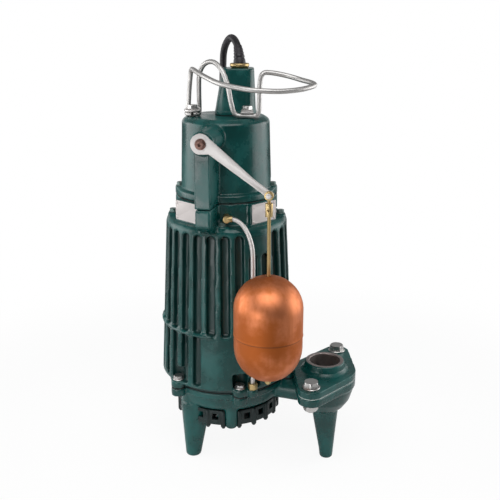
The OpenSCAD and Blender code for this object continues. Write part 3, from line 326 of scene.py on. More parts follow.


# How far the slots' floors lie from the axis at the foot (metres), how they lean in, where they end, and how much
# painted shade and dullness they get
housingSlotShade = {"lean": 0.0451, "edge": 0.1083, "floor": 0.1045, "top": 0.362, "fade": 0.004,
                "dark": 0.85, "dull": 0.1}
enamel = makeEnamel("greenEnamel")
housingEnamelSlotShade = makeEnamel("housingEnamelSlotShade", housingSlotShade)
boltIron = makeMetal("boltIron", (0.2, 0.12, 0.1), (0.09, 0.045, 0.035), 0.4, shadeTint=(0.03, 0.015, 0.012))
paintedSteel = makeMetal("paintedSteel", (0.1, 0.15, 0.14), (0.03, 0.07, 0.065), 0.36, metallic=0.4,
                         shadeTint=(0.01, 0.03, 0.03))
steel = makeMetal("stainlessSteel", (0.5, 0.49, 0.48), (0.34, 0.33, 0.32), 0.3, shadeTint=(0.14, 0.13, 0.13))
wireSteel = makeMetal("wireSteel", (0.46, 0.45, 0.44), (0.34, 0.33, 0.32), 0.42, shadeTint=(0.2, 0.19, 0.19))
armSteel = makeMetal("armSteel", (0.56, 0.54, 0.53), (0.43, 0.4, 0.39), 0.5, lengthwise, shadeTint=(0.2, 0.18, 0.17))
brass = makeMetal("plainBrass", (0.47, 0.35, 0.17), (0.3, 0.22, 0.1), 0.36, shadeTint=(0.14, 0.09, 0.04))
copper = makeCopper()
plateMetal = makeMetal("plateAluminium", (0.47, 0.44, 0.43), (0.38, 0.34, 0.335), 0.55, lengthwise, metallic=0.35)
machined = makeMetal("machinedIron", (0.36, 0.31, 0.3), (0.22, 0.17, 0.16), 0.42, (500, 500, 1500),
                     shadeTint=(0.06, 0.04, 0.035))
bareIron = makeMetal("bareIron", (0.36, 0.36, 0.37), (0.2, 0.2, 0.21), 0.42, allWays)
windingWire = makeMetal("windingCopper", (0.6, 0.25, 0.1), (0.4, 0.15, 0.06), 0.4, (40, 40, 1600), depth=0.0003)
cordRubber = makeRubber("cordRubber", (0.006, 0.005, 0.007), (0.016, 0.013, 0.017))
gasketRubber = makeRubber("gasketRubber", (0.012, 0.012, 0.012), (0.025, 0.025, 0.025), 0.6)
paperGasket = makeRubber("paperGasket", (0.34, 0.4, 0.38), (0.44, 0.5, 0.48), 0.6)
blackPlastic = makeRubber("blackPlastic", (0.0015, 0.008, 0.008), (0.003, 0.014, 0.014), 0.34, 700, 0.00005)
print("materials made")


# Paths and tubes
def between(a, b, c, d, u):
    # a smooth curve from b to c, with a and d as the neighbours
    return 0.5 * (2 * b + (c - a) * u + (2 * a - 5 * b + 4 * c - d) * u * u + (3 * b - a - 3 * c + d) * u ** 3)


def smoothPath(points, steps):
    # the points joined by a smooth line, with this many steps from each to the next
    points = [Vector(p) for p in points]
    last = len(points) - 1
    path = []
    for i in range(last):
        for j in range(steps):
            before, after = points[max(i - 1, 0)], points[min(i + 2, last)]
            path.append(between(before, points[i], points[i + 1], after, j / steps))
    return path + [points[last]]


def pathLength(points):
    return sum((b - a).length for a, b in zip(points, points[1:]))


# Angles in degrees from which an edge between two faces shows as sharp
sharpFrom = {"tube": 60, "fastener": 35, "float": 50, "casting": 180, "rounded": 32}


def finishMesh(mesh, material, smoothAngle):
    mesh.materials.clear()
    mesh.materials.append(material)
    mesh.polygons.foreach_set("material_index", [0] * len(mesh.polygons))
    mesh.polygons.foreach_set("use_smooth", [True] * len(mesh.polygons))
    mesh.set_sharp_from_angle(angle=math.radians(smoothAngle))
    mesh.update()


def sweepTube(name, points, radii, sides, material):
    # a round tube along the points, carried without a twist, with its ends closed
    # side starts as any direction that isn't the path's own
    count = len(points)
    heading = [(points[min(i + 1, count - 1)] - points[max(i - 1, 0)]).normalized() for i in range(count)]
    side = Vector((0.3, 0.2, 0.9))
    verts, faces = [], []
    for point, ahead, radius in zip(points, heading, radii):
        side = (side - side.dot(ahead) * ahead).normalized()
        other = ahead.cross(side)
        for k in range(sides):
            a = 2 * math.pi * k / sides
            verts.append(point + radius * (math.cos(a) * side + math.sin(a) * other))
    for i in range(count - 1):
        for k in range(sides):
            a, b = i * sides + k, i * sides + (k + 1) % sides
            faces.append((a, b, b + sides, a + sides))
    first, last, base = len(verts), len(verts) + 1, (count - 1) * sides
    verts += [points[0], points[-1]]
    for k in range(sides):
        faces.append((first, (k + 1) % sides, k))
        faces.append((last, base + k, base + (k + 1) % sides))
    mesh = bpy.data.meshes.new(name)
    mesh.from_pydata([tuple(v) for v in verts], [], faces)
    mesh.update()
    piece = bpy.data.objects.new(name, mesh)
    scene.collection.objects.link(piece)
    finishMesh(mesh, material, sharpFrom["tube"])
    return piece


# Cord: from the gland over one loop, down behind the pump, and put away in a coil
cord = {"radius": 5.25, "route": [
    (20, 15, 596.5), (19, 18, 608), (17, 25, 619), (13, 36, 627), (8, 49, 630), (3, 62, 627), (-2, 73, 618),
    (-5, 81, 606), (-6, 86, 590), (-7, 90, 565), (-7, 94, 535), (-7, 98, 500), (-7, 102, 465), (-7, 106, 430),
    (-7, 110, 395), (-7, 113, 360), (-7, 115, 320), (-7, 117, 280), (-7, 118, 240), (-7, 119, 200),
    (-7, 119, 160), (-7, 120, 120), (-7, 120, 80), (-6, 121, 52), (-1, 124, 28), (10, 130, 12), (24, 137, 6),
    (34, 142.3, 5.3)],
    "tail": [(71, 165, 41.5), (80, 179, 46), (83, 194, 49.5), (81, 209, 50.5), (73, 223, 51), (61, 234, 52.5),
             (46, 242, 55), (30, 245.5, 57.5), (20, 246, 58.2)],
    "plug": (10, 246, 58.2), "sides": 16, "routeSteps": 5, "tailSteps": 4}
coil = {"place": (15, 215), "start": -60, "turns": 9, "layers": 4, "middle": 60, "spare": 0.6, "rings": 36}


def around(turn):
    # the level direction at this angle from the discharge side
    return Vector((math.cos(math.radians(turn)), math.sin(math.radians(turn)), 0))


def coilPoints(rings):
    # one unbroken line that spirals in, climbs a layer over half a turn, spirals out, and so on
    pitch = 2 * cord["radius"] + coil["spare"]
    layerTurns = coil["turns"] / coil["layers"]
    outer = coil["middle"] + pitch * layerTurns / 2
    foot = Vector((*coil["place"], cord["radius"]))

    def at(t):
        folded = t % layerTurns if t % (2 * layerTurns) < layerTurns else layerTurns - t % layerTurns
        climbed = sum(min(1, max(0, 2 * (t - k * layerTurns) + 0.5)) for k in range(1, coil["layers"]))
        level = Vector((0, 0, pitch * climbed))
        return foot + (outer - pitch * folded) * around(coil["start"] + 360 * t) + level

    endTurn = coil["start"] + 360 * coil["turns"]
    line = [at(k / rings) for k in range(rings * coil["turns"] + 1)]
    lead, top = 2 * cord["radius"], Vector((0, 0, (coil["layers"] - 1) * pitch))
    start = foot + outer * around(coil["start"]) - lead * around(coil["start"] + 90)
    end = foot + top + outer * around(endTurn) + lead * around(endTurn + 90)
    return start, line, end


coilStart, coilLine, coilEnd = coilPoints(coil["rings"])
cordLine = smoothPath([*cord["route"], coilStart], cord["routeSteps"]) + coilLine
cordLine += smoothPath([coilEnd, *cord["tail"], cord["plug"]], cord["tailSteps"])
cordLine = [fromAxis(*p) for p in cordLine]
cordPiece = sweepTube("cord", cordLine, [cord["radius"] * mm] * len(cordLine), cord["sides"], cordRubber)
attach(cordPiece, "pump")
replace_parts(cordPiece, "power_cord", "cord_coil", "cord_tail")


# Geometry Nodes helpers
def geometryTree(name, inputs):
    tree = bpy.data.node_groups.new(name, "GeometryNodeTree")
    tree.interface.new_socket(name="Geometry", in_out="INPUT", socket_type="NodeSocketGeometry")
    addSockets(tree, inputs)
    tree.interface.new_socket(name="Geometry", in_out="OUTPUT", socket_type="NodeSocketGeometry")
    return tree, tree.nodes.new("NodeGroupInput").outputs, tree.nodes.new("NodeGroupOutput").inputs


def placed(tree, x, y, z):
    return put(tree, "ShaderNodeCombineXYZ", {"X": x, "Y": y, "Z": z})[0]


def joined(tree, *parts):
    node = tree.nodes.new("GeometryNodeJoinGeometry")
    for part in reversed(parts):
        tree.links.new(part, node.inputs[0])
    return node.outputs[0]


def treeResult(name, tree, start, values, material, body, smoothAngle=sharpFrom["fastener"]):
    # runs a tree on the start mesh and keeps what it makes as one plain mesh
    base = bpy.data.objects.new(name, start)
    scene.collection.objects.link(base)
    modifier = base.modifiers.new("tree", "NODES")
    modifier.node_group = tree
    sockets = {s.name: s.identifier for s in tree.interface.items_tree if s.in_out == "INPUT"}
    for label, value in values.items():
        modifier[sockets[label]] = value
    modifier[sockets["Material"]] = material
    made = bpy.data.meshes.new_from_object(base.evaluated_get(bpy.context.evaluated_depsgraph_get()))
    base.modifiers.remove(modifier)
    base.data = made
    bpy.data.meshes.remove(start)
    finishMesh(made, material, smoothAngle)
    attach(base, body)
    return base


def pointMesh(name, points, outward):
    mesh = bpy.data.meshes.new(name)
    mesh.from_pydata([tuple(p) for p in points], [], [])
    facing = mesh.attributes.new("outward", "FLOAT_VECTOR", "POINT")
    facing.data.foreach_set("vector", [c for v in outward for c in v])
    return mesh


def realize(tree, geometry, material, result):
    real = put(tree, "GeometryNodeRealizeInstances", {"Geometry": geometry})[0]
    tree.links.new(put(tree, "GeometryNodeSetMaterial", {"Geometry": real, "Material": material})[0], result)


def vertexPlace(tree):
    return split(put(tree, "GeometryNodeInputPosition")[0])


def moveTo(tree, geometry, x, y, z):
    return put(tree, "GeometryNodeSetPosition", {"Geometry": geometry, "Position": placed(tree, x, y, z)})[0]


def roundBar(tree, sides, bands):
    return put(tree, "GeometryNodeMeshCylinder",
               {"Vertices": sides, "Side Segments": bands, "Radius": 1.0, "Depth": 1.0})[0]


def onPoints(tree, points, fastener, seed, material, result):
    # stands one fastener on each point, turned at random about the point's outward direction
    outward = put(tree, "GeometryNodeInputNamedAttribute", {"Name": "outward"}, data_type="FLOAT_VECTOR")[0]
    stand = put(tree, "FunctionNodeAlignRotationToVector", {"Vector": outward}, axis="Z")[0]
    spin = put(tree, "FunctionNodeRandomValue", {"Min": 0.0, "Max": 2 * math.pi, "Seed": seed}, data_type="FLOAT")
    spin = [s for s in spin if s.enabled][0]
    turned = put(tree, "FunctionNodeAxisAngleToRotation", {"Angle": spin})[0]
    rotation = put(tree, "FunctionNodeRotateRotation", {"Rotation": stand, "Rotate By": turned},
                   rotation_space="LOCAL")[0]
    copies = put(tree, "GeometryNodeInstanceOnPoints",
                 {"Points": points, "Instance": fastener, "Rotation": rotation})[0]
    realize(tree, copies, material, result)


def hexHead(tree, radius, height):
    # a hexagon whose top corners are turned off, made from a round bar by moving its rings
    chamfer = {"corner": 1.9, "fall": 1.01, "wall": 1.64, "cap": (0.36, 0.64)}
    sides, bands = 48, 2
    bar = roundBar(tree, sides, bands)
    spot = vertexPlace(tree)
    turn = plus(maths("ARCTAN2", spot[1], spot[0]), 2 * math.pi)
    turn = maths("MODULO", turn, math.pi / 3)
    flat = maths("COSINE", minus(turn, math.pi / 6))
    flat = over(math.cos(math.pi / 6), flat)
    level = plus(spot[2], 0.5)
    corner = minus(chamfer["corner"], times(level, chamfer["fall"]))
    reach = times(maths("MINIMUM", flat, corner), radius)
    low = times(level, chamfer["wall"])
    high = plus(times(level, chamfer["cap"][0]), chamfer["cap"][1])
    rise = times(maths("MINIMUM", low, high), height)
    return moveTo(tree, bar, times(spot[0], reach), times(spot[1], reach), rise)


def softDisc(tree, radius, height, lift, edge=0.94):
    # a washer or shank with rounded rims, standing from lift upwards
    sides, bands, rimFrom = 32, 3, 0.45
    disc = roundBar(tree, sides, bands)
    spot = vertexPlace(tree)
    rim = maths("GREATER_THAN", maths("ABSOLUTE", spot[2]), rimFrom)
    reach = times(minus(1.0, times(rim, 1 - edge)), radius)
    rise = plus(times(plus(spot[2], 0.5), height), lift)
    return moveTo(tree, disc, times(spot[0], reach), times(spot[1], reach), rise)


def makeBoltTree():
    tree, given, result = geometryTree("hexBolts", {
        "Head Radius": 0.007, "Head Height": 0.006, "Washer Radius": 0.009, "Washer Height": 0.0015,
        "Shank Radius": 0.004, "Shank Length": 0.02, "Seed": 1, "Material": None})
    head = hexHead(tree, given["Head Radius"], given["Head Height"])
    lift = placed(tree, 0.0, 0.0, given["Washer Height"])
    head = put(tree, "GeometryNodeTransform", {"Geometry": head, "Translation": lift})[0]
    washer = softDisc(tree, given["Washer Radius"], given["Washer Height"], 0.0)
    drop = times(given["Shank Length"], -1.0)
    shank = softDisc(tree, given["Shank Radius"], given["Shank Length"], drop, 0.8)
    bolt = joined(tree, head, washer, shank)
    onPoints(tree, given["Geometry"], bolt, given["Seed"], given["Material"], result["Geometry"])
    return tree


def makeRivetTree():
    tree, given, result = geometryTree("domeRivets", {
        "Radius": 0.0021, "Height": 0.0009, "Sink": 0.0008, "Seed": 1, "Material": None})
    ball = put(tree, "GeometryNodeMeshUVSphere", {"Segments": 20, "Rings": 10, "Radius": 1.0})[0]
    spot = vertexPlace(tree)
    above = times(maths("MAXIMUM", spot[2], 0.0), given["Height"])
    below = times(maths("MINIMUM", spot[2], 0.0), given["Sink"])
    head = moveTo(tree, ball, times(spot[0], given["Radius"]), times(spot[1], given["Radius"]),
                  plus(above, below))
    onPoints(tree, given["Geometry"], head, given["Seed"], given["Material"], result["Geometry"])
    return tree


def makeFloatTree():
    # one half of the float: a dome whose rule is an ellipse, a straight wall and a rolled seam at its end
    tree, given, result = geometryTree("floatHalf", {
        "Radius": 0.0475, "Dome": 0.046, "Straight": 0.037, "Rod Hole": 0.0037, "Bead": 0.0007,
        "Bead Width": 0.0022, "Flip": 1.0, "Seam": (0, 0, 0), "Material": None})
    columns, rows, domeShare, weld = 97, 60, 0.55, 0.00001
    sheet = put(tree, "GeometryNodeMeshGrid",
                {"Size X": 1.0, "Size Y": 1.0, "Vertices X": columns, "Vertices Y": rows})[0]
    spot = vertexPlace(tree)
    turn = times(plus(spot[0], 0.5), 2 * math.pi)
    along = plus(spot[1], 0.5)
    onDome = maths("MINIMUM", over(along, domeShare), 1.0)
    onWall = maths("MAXIMUM", minus(along, domeShare), 0.0)
    onWall = over(onWall, 1 - domeShare)
    bend = times(onDome, math.pi / 2)
    reach = times(maths("SINE", bend), given["Radius"])
    reach = maths("MAXIMUM", reach, given["Rod Hole"])
    depth = times(minus(1.0, maths("COSINE", bend)), given["Dome"])
    depth = plus(depth, times(onWall, given["Straight"]))
    toSeam = minus(plus(given["Dome"], given["Straight"]), depth)
    near = minus(1.0, over(toSeam, given["Bead Width"]))
    near = maths("SQRT", maths("MAXIMUM", near, 0.0))
    reach = plus(reach, times(near, given["Bead"]))
    shaped = moveTo(tree, sheet, times(maths("COSINE", turn), reach),
                    times(maths("SINE", turn), reach), times(toSeam, given["Flip"]))
    closed = put(tree, "GeometryNodeMergeByDistance", {"Geometry": shaped, "Distance": weld})[0]
    moved = put(tree, "GeometryNodeTransform", {"Geometry": closed, "Translation": given["Seam"]})[0]
    realize(tree, moved, given["Material"], result["Geometry"])
    return tree


boltTree, rivetTree, floatTree = makeBoltTree(), makeRivetTree(), makeFloatTree()
print("geometry trees made")


# Pieces taken from the CAD nodes: one merged mesh each, then rounded
def mergedCopy(name, nodeName, flatten=True):
    weld, flatAngle = 0.000002, 0.006
    gathered = bmesh.new()
    gathered.from_mesh(nodes[nodeName].data)
    bmesh.ops.remove_doubles(gathered, verts=gathered.verts, dist=weld)
    if flatten:
        bmesh.ops.dissolve_limit(gathered, angle_limit=flatAngle, verts=gathered.verts, edges=gathered.edges)
    mesh = bpy.data.meshes.new(name)
    gathered.to_mesh(mesh)
    gathered.free()
    mesh.materials.clear()
    piece = bpy.data.objects.new(name, mesh)
    scene.collection.objects.link(piece)
    return piece


def settled(piece, material, smoothAngle):
    # keeps what the modifiers make as one plain mesh
    made = bpy.data.meshes.new_from_object(piece.evaluated_get(bpy.context.evaluated_depsgraph_get()))
    piece.modifiers.clear()
    rough = piece.data
    piece.data = made
    bpy.data.meshes.remove(rough)
    finishMesh(made, material, smoothAngle)


# Legs and bosses that flow into the case: where each stands, as (distance, turn) from the axis,
# and its rings, as (height, radius, shift towards the axis)
legForms = {
    "caseLegs": (((72, 222), (72, 102)), ((2, 11.8, 0), (60, 19.2, 5.2), (90, 22.3, 7), (113, 22, 7))),
    "dischargeLeg": (((162.5, -20),), ((2, 9.3, -1.2), (82, 19.2, 3.6), (95, 20, 4))),
    "bosses": (((73, 275), (73, 35), (73, 155)), ((61, 7, -2.5), (64, 9.4, -2.5), (100, 9.8, -2.5))),
}
legSides = 32
footShape = {"place": (162.5, -20), "reach": 26, "top": 82, "share": 0.84, "out": 1.2}


def pumpCaseForm(mesh):
    # draws the discharge foot in towards its end, then adds the legs and bosses as closed bodies
    distance, turn = footShape["place"]
    top, centre = footShape["top"] * mm, polar(turn, distance, 0)
    for vertex in mesh.vertices:
        out = (vertex.co - centre).xy
        if out.length < footShape["reach"] * mm and vertex.co.z < top:
            risen = vertex.co.z / top
            foot = polar(turn, distance + footShape["out"] * (1 - risen), 0)
            vertex.co.xy = foot.xy + out * (footShape["share"] * (1 - risen) + risen)
    shape = bmesh.new()
    shape.from_mesh(mesh)
    for places, rings in legForms.values():
        for distance, turn in places:
            loops = []
            for z, radius, shift in rings:
                middle = polar(turn, distance - shift, z)
                loops.append([shape.verts.new(middle + around(360 * k / legSides) * radius * mm)
                              for k in range(legSides)])
            shape.faces.new(loops[0][::-1])
            shape.faces.new(loops[-1])
            for low, high in zip(loops, loops[1:]):
                for k in range(legSides):
                    after = (k + 1) % legSides
                    shape.faces.new((low[k], low[after], high[after], high[k]))
    shape.to_mesh(mesh)
    shape.free()


def casting(name, nodeName, voxel, rounds, keep, material, reshape=None):
    # sand-cast iron: every corner and root is rounded a little, and no face is quite true
    piece = mergedCopy(name, nodeName, False)
    if reshape:
        reshape(piece.data)
    skin = piece.modifiers.new("skin", "REMESH")
    skin.mode = "VOXEL"
    skin.voxel_size = voxel * mm
    rub = piece.modifiers.new("rub", "SMOOTH")
    rub.factor = 0.5
    rub.iterations = rounds
    thin = piece.modifiers.new("thin", "DECIMATE")
    thin.ratio = keep
    settled(piece, material, sharpFrom["casting"])
    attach(piece, "pump")
    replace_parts(piece, nodeName)
    print("casting", name, len(piece.data.polygons), "faces")
    return piece


# node, voxel size in millimetres, smoothing rounds, share of the faces kept, finish, change of form
castings = {
    "motorHousing": ("motor_housing", 2.0, 3, 0.5, housingEnamelSlotShade),
    "pumpCase": ("pump_case", 1.6, 4, 0.6, enamel, pumpCaseForm),
    "switchCase": ("switch_case", 1.4, 3, 0.6, enamel),
    "cordCap": ("cord_cap", 0.9, 3, 0.6, enamel),
    "dischargeFlange": ("discharge_flange", 1.0, 3, 0.7, enamel),
}
castPieces = {name: casting(name, *facts) for name, facts in castings.items()}

# The pipe opening is machined: its bore and its rim show bare iron
discharge = {"place": (148.002, -53.868), "turn": 69, "bolts": 70, "bore": 24.2, "rim": 28.2, "rimDepth": 1.2}
flangeMesh = castPieces["dischargeFlange"].data
flangeMesh.materials.append(machined)
flangeCentre = fromAxis(*discharge["place"], 0)
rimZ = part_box("discharge_flange")[1].z - discharge["rimDepth"] * mm
for face in flangeMesh.polygons:
    out = (face.center - flangeCentre).xy.length / mm
    if out < discharge["bore"] or (out < discharge["rim"] and face.center.z > rimZ):
        face.material_index = 1


# Where the bar's corners stand along it from the pivot, where they go, and how steeply it hangs
armShape = {"end": 33.6, "near": 0.6, "upper": 84, "lower": 16.5, "slope": 34.1}


def armOutline(mesh):
    # the bar leaves the hub along its upper tangent, and turns in sharply below
    swing = next(joint for joint in frame["record"]["behaviour"]["joints"] if joint["name"] == "arm_swing")
    out, slope = Vector(swing["axis"]), math.radians(armShape["slope"])
    level = Vector((-out.y, out.x, 0))
    along = level * math.cos(slope) - Vector((0, 0, math.sin(slope)))
    across = level * math.sin(slope) + Vector((0, 0, math.cos(slope)))
    for vertex in mesh.vertices:
        place = vertex.co - Vector(swing["pos_m"])
        if abs(place.dot(along) / mm - armShape["end"]) < armShape["near"]:
            goal = armShape["upper"] if place.dot(across) > 0 else armShape["lower"]
            vertex.co += along * (goal - armShape["end"]) * mm


def rounded(name, nodeName, body, slotName, material, width, reshape=None):
    # every sharp edge gets a small round of the given width
    piece = mergedCopy(name, nodeName)
    if reshape:
        reshape(piece.data)
    edge = piece.modifiers.new("edge", "BEVEL")
    edge.width = width * mm
    edge.segments = 2
    edge.limit_method = "ANGLE"
    edge.angle_limit = math.radians(sharpFrom["rounded"])
    settled(piece, material, sharpFrom["rounded"])
    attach(piece, body)
    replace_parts(piece, nodeName)
    return piece


# node, body, slot, finish, width of the round in millimetres, change of form
roundedPieces = {
    "strainerBase": ("strainer_base", "pump", "black_plastic", blackPlastic, 0.5),
    "strainerScrews": ("strainer_screws", "pump", "stainless", steel, 0.3),
    "caseGasket": ("case_gasket", "pump", "rubber", gasketRubber, 0.2),
    "neckGasket": ("neck_gasket", "pump", "rubber", gasketRubber, 0.2),
    "flangeGasket": ("flange_gasket", "pump", "rubber", paperGasket, 0.2),
    "capGasket": ("cap_gasket", "pump", "rubber", gasketRubber, 0.2),
    "plateLeft": ("plate_left", "pump", "plate", plateMetal, 0.2),
    "plateRight": ("plate_right", "pump", "plate", plateMetal, 0.2),
    "floatArm": ("float_arm", "arm", "stainless", armSteel, 0.5, armOutline),
    "armBolt": ("arm_bolt", "arm", "stainless", boltIron, 0.35),
    "pivotShaft": ("pivot_shaft", "arm", "stainless", steel, 0.3),
    "rodPin": ("rod_pin", "arm", "stainless", armSteel, 0.3),
    "pivotBushing": ("pivot_bushing", "pump", "brass", brass, 0.3),
    "floatRod": ("float_rod", "rod", "brass", brass, 0.3),
    "rodCollar": ("rod_collar", "rod", "brass", brass, 0.5),
    "rodNuts": ("rod_nuts", "rod", "brass", brass, 0.3),
    "floatSleeve": ("float_sleeve", "float", "brass", brass, 0.2),
    "tubeFittings": ("tube_fittings", "pump", "brass", brass, 0.4),
    "cordGland": ("cord_gland", "pump", "brass", brass, 0.5),
    "guardClips": ("guard_clips", "pump", "stainless", armSteel, 0.4),
    "plugBody": ("plug_body", "pump", "rubber", cordRubber, 1.5),
    "plugPins": ("plug_pins", "pump", "brass", brass, 0.4),
}
madeRounded = {name: rounded(name, *facts) for name, facts in roundedPieces.items()}
print("rounded pieces made:", len(madeRounded))

# Strain relief: a ribbed taper round the foot of the cord
relief = {"foot": 581.5, "seat": 590, "end": 618.5, "wide": 9.3, "narrow": 6.1, "plain": 12, "sides": 28,
          "steps": 12, "groove": 0.9, "fade": 0.7, "ribStart": 600, "rib": 5.0, "gap": 0.4}
gland = cord["route"][0][:2]
reliefLine = smoothPath([(*gland, relief["foot"]), (*gland, relief["seat"]), *cord["route"][:5]], relief["steps"])
reliefLine = reliefLine[:next(i for i, p in enumerate(reliefLine) if p.z > relief["end"])]
tapered = pathLength(reliefLine) - relief["plain"]
reliefRadii, gone = [], 0.0
for i, p in enumerate(reliefLine):
    gone += (p - reliefLine[i - 1]).length if i else 0
    share = min(1, max(0, (gone - relief["plain"]) / tapered))
    grooved = p.z > relief["ribStart"] and (gone % relief["rib"]) < relief["rib"] * relief["gap"]
    radius = relief["wide"] + (relief["narrow"] - relief["wide"]) * share
    reliefRadii.append((radius - relief["groove"] * grooved * (1 - share * relief["fade"])) * mm)
reliefLine = [fromAxis(*p) for p in reliefLine]
strainRelief = sweepTube("strainRelief", reliefLine, reliefRadii, relief["sides"], cordRubber)
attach(strainRelief, "pump")
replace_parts(strainRelief, "strain_relief")

# Guard wire: one bar, bent twice round. Its route is in millimetres from the axis, and the level is
# that of its clipped ends
guard = {"radius": 3.4, "level": 527.1, "sides": 20, "steps": 5}
g = guard["level"]
guardRoute = [
    (-48, -17.5, g), (-53, -15, g), (-55.5, -9, g), (-55.5, -1, g), (-55.5, 4, g + 1), (-55.3, 7, g + 5),
    (-54, 7.5, g + 12), (-52.5, 6, 558), (-50.5, 4.5, 576), (-48.5, -1, 587), (-45, -14, 589), (-38, -37, 587),
    (-25, -66, 582.5), (-4, -95, 576), (27, -113, 571), (50, -116, 569), (76, -112, 568), (102, -101, 569.5),
    (120, -82, 572.5), (119, -65, 574.5), (106, -46, 577), (86, -36, 582), (64, -36, 586), (53, -38, 585),
    (49, -39, 574), (48, -40, 550), (47.5, -40, g + 8), (45, -39.5, g + 1.5), (40, -39, g), (30, -38, g),
    (22, -38, g), (15.5, -37.5, g + 1.5), (11.5, -37, g + 7), (8, -36, 548), (4, -32, 568), (-4, -25, 588),
    (-16, -14, 599), (-29, -4, 596), (-37, 4, 582), (-38.5, 7, 562), (-38.5, 7.5, g + 12), (-38.5, 7, g + 5),
    (-38.5, 4, g + 1), (-38.5, -1, g), (-38.5, -9, g), (-41, -15, g), (-46, -17.5, g)]
guardLine = [fromAxis(*p) for p in smoothPath(guardRoute, guard["steps"])]
guardWire = sweepTube("guardWire", guardLine, [guard["radius"] * mm] * len(guardLine), guard["sides"], wireSteel)
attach(guardWire, "pump")
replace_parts(guardWire, "guard_wire")

# Side tube: from the fitting on the column, over a bend and straight down
tube = {"radius": 3.2, "sides": 20, "steps": 6, "route": [
    (2.199, -83.971, 390), (6.199, -83.971, 390), (10.199, -83.971, 390), (18, -86.5, 387.5), (26, -90, 381),
    (33, -94.5, 369), (37.5, -97.5, 354), (39.021, -98.556, 334), (39.021, -98.556, 280),
    (39.021, -98.556, 210), (39.021, -98.556, 129)]}
tubeLine = [fromAxis(*p) for p in smoothPath(tube["route"], tube["steps"])]
sideTube = sweepTube("sideTube", tubeLine, [tube["radius"] * mm] * len(tubeLine), tube["sides"], armSteel)
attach(sideTube, "pump")
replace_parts(sideTube, "side_tube")

# Float: two halves from the same tree, each thickened inwards
floatShape = {"radius": 47.5, "top": 46, "bottom": 50, "foot": 178, "height": 150, "wall": 1.2, "bead": 0.45,
              "lap": 0.25}


def floatHalf(name, nodeName, dome, straight, flip):
    # the upper half carries the bead, and the lower one is smaller by the lap
    low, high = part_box(nodeName)
    seam = (*((low + high) / 2).xy, floatSeam * mm)
    lap, bead = (0, floatShape["bead"]) if flip > 0 else (floatShape["lap"], 0.0)
    half = treeResult(name, floatTree, bpy.data.meshes.new(name), {
        "Radius": (floatShape["radius"] - lap) * mm, "Dome": dome * mm, "Straight": straight * mm,
        "Bead": bead * mm, "Flip": flip, "Seam": seam}, copper, "float", sharpFrom["float"])
    shell = bmesh.new()
    shell.from_mesh(half.data)
    bmesh.ops.recalc_face_normals(shell, faces=shell.faces)
    middle = sum((v.co for v in shell.verts), Vector()) / len(shell.verts)
    if sum((f.calc_center_median() - middle).dot(f.normal) for f in shell.faces) < 0:
        bmesh.ops.reverse_faces(shell, faces=shell.faces)
    shell.to_mesh(half.data)
    shell.free()
    wall = half.modifiers.new("wall", "SOLIDIFY")
    wall.thickness = floatShape["wall"] * mm
    wall.offset = -1
    settled(half, copper, sharpFrom["float"])
    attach(half, "float")
    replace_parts(half, nodeName)


upperWall = floatShape["foot"] + floatShape["height"] - floatShape["top"] - floatSeam
lowerWall = floatSeam - floatShape["foot"] - floatShape["bottom"]
floatHalf("floatUpperHalf", "float_upper_half", floatShape["top"], upperWall, 1.0)
floatHalf("floatLowerHalf", "float_lower_half", floatShape["bottom"], lowerWall, -1.0)
print("float made")

# Bolts and rivets
flangeBoltPlaces = [flangeCentre + side * discharge["bolts"] * mm * around(discharge["turn"]) for side in (-1, 1)]


def atLevel(points, z):
    # the same points at this height in millimetres
    return [Vector((p.x, p.y, z * mm)) for p in points]


def bolts(name, places, outward, sizes, seed, finish):
    labels = ("Head Radius", "Head Height", "Washer Radius", "Washer Height", "Shank Radius", "Shank Length")
    values = {label: size * mm for label, size in zip(labels, sizes)}
    start = pointMesh(name, places, [outward] * len(places))
    piece = treeResult(name, boltTree, start, {**values, "Seed": seed}, finish, "pump")
    return piece


up, down = (0, 0, 1), (0, 0, -1)
# node, places, sizes in millimetres (head, washer and shank, each as radius and height), seed, finish
boltKinds = {
    "caseBolts": ("case_bolts", [polar(222 + 60 * k, 98, 137) for k in range(6)],
                  (7.4, 4.6, 8.6, 1.4, 4, 22), 3, steel),
    "switchCaseBolts": ("switch_case_bolts", [polar(turn, 68, 420) for turn in (0, 90, 180)],
                        (5.55, 4.4, 6.8, 1.2, 3, 22), 5, paintedSteel),
    "shoulderScrews": ("shoulder_screws", [polar(267 + 90 * k, 80.5, 379) for k in range(4)],
                       (5.55, 4.2, 6.4, 1.1, 3, 18), 8, paintedSteel),
    "guardBolts": ("guard_bolts", [fromAxis(-47, -9, 533.2), fromAxis(31, -23, 533.2)],
                   (7.4, 4.9, 8.0, 1.3, 4, 17), 4, steel),
    "capScrew": ("cap_screw", [fromAxis(8, 46, 530.7)], (7.4, 4.8, 8.0, 1.3, 4, 14), 6, steel),
    "flangeBolts": ("flange_bolts", atLevel(flangeBoltPlaces, 149), (11, 8, 13, 2, 6.35, 38), 2, steel),
}
for name, (nodeName, places, *facts) in boltKinds.items():
    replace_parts(bolts(name, places, up, *facts), nodeName)
bolts("flangeNuts", atLevel(flangeBoltPlaces, 125), down, (11, 9.5, 12, 1, 6.35, 1), 9, steel)

plate = {"turns": (225, 315), "width": 48, "height": 28, "seat": 78.3, "top": 407, "inset": 3}
halfWidth = plate["width"] / 2 - plate["inset"]
rivetLevels = (plate["top"] - plate["inset"], plate["top"] - plate["height"] + plate["inset"])
rivetPoints, rivetFacing = [], []
for turn in plate["turns"]:
    for y in (-halfWidth, halfWidth):
        spot = around(turn) * plate["seat"] + around(turn + 90) * y
        for z in rivetLevels:
            rivetPoints.append(fromAxis(spot.x, spot.y, z))
            rivetFacing.append(around(turn))
rivetStart = pointMesh("plateRivets", rivetPoints, rivetFacing)
plateRivets = treeResult("plateRivets", rivetTree, rivetStart, {"Seed": 4}, plateMetal, "pump")
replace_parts(plateRivets, "plate_rivets")
print("bolts and rivets made")

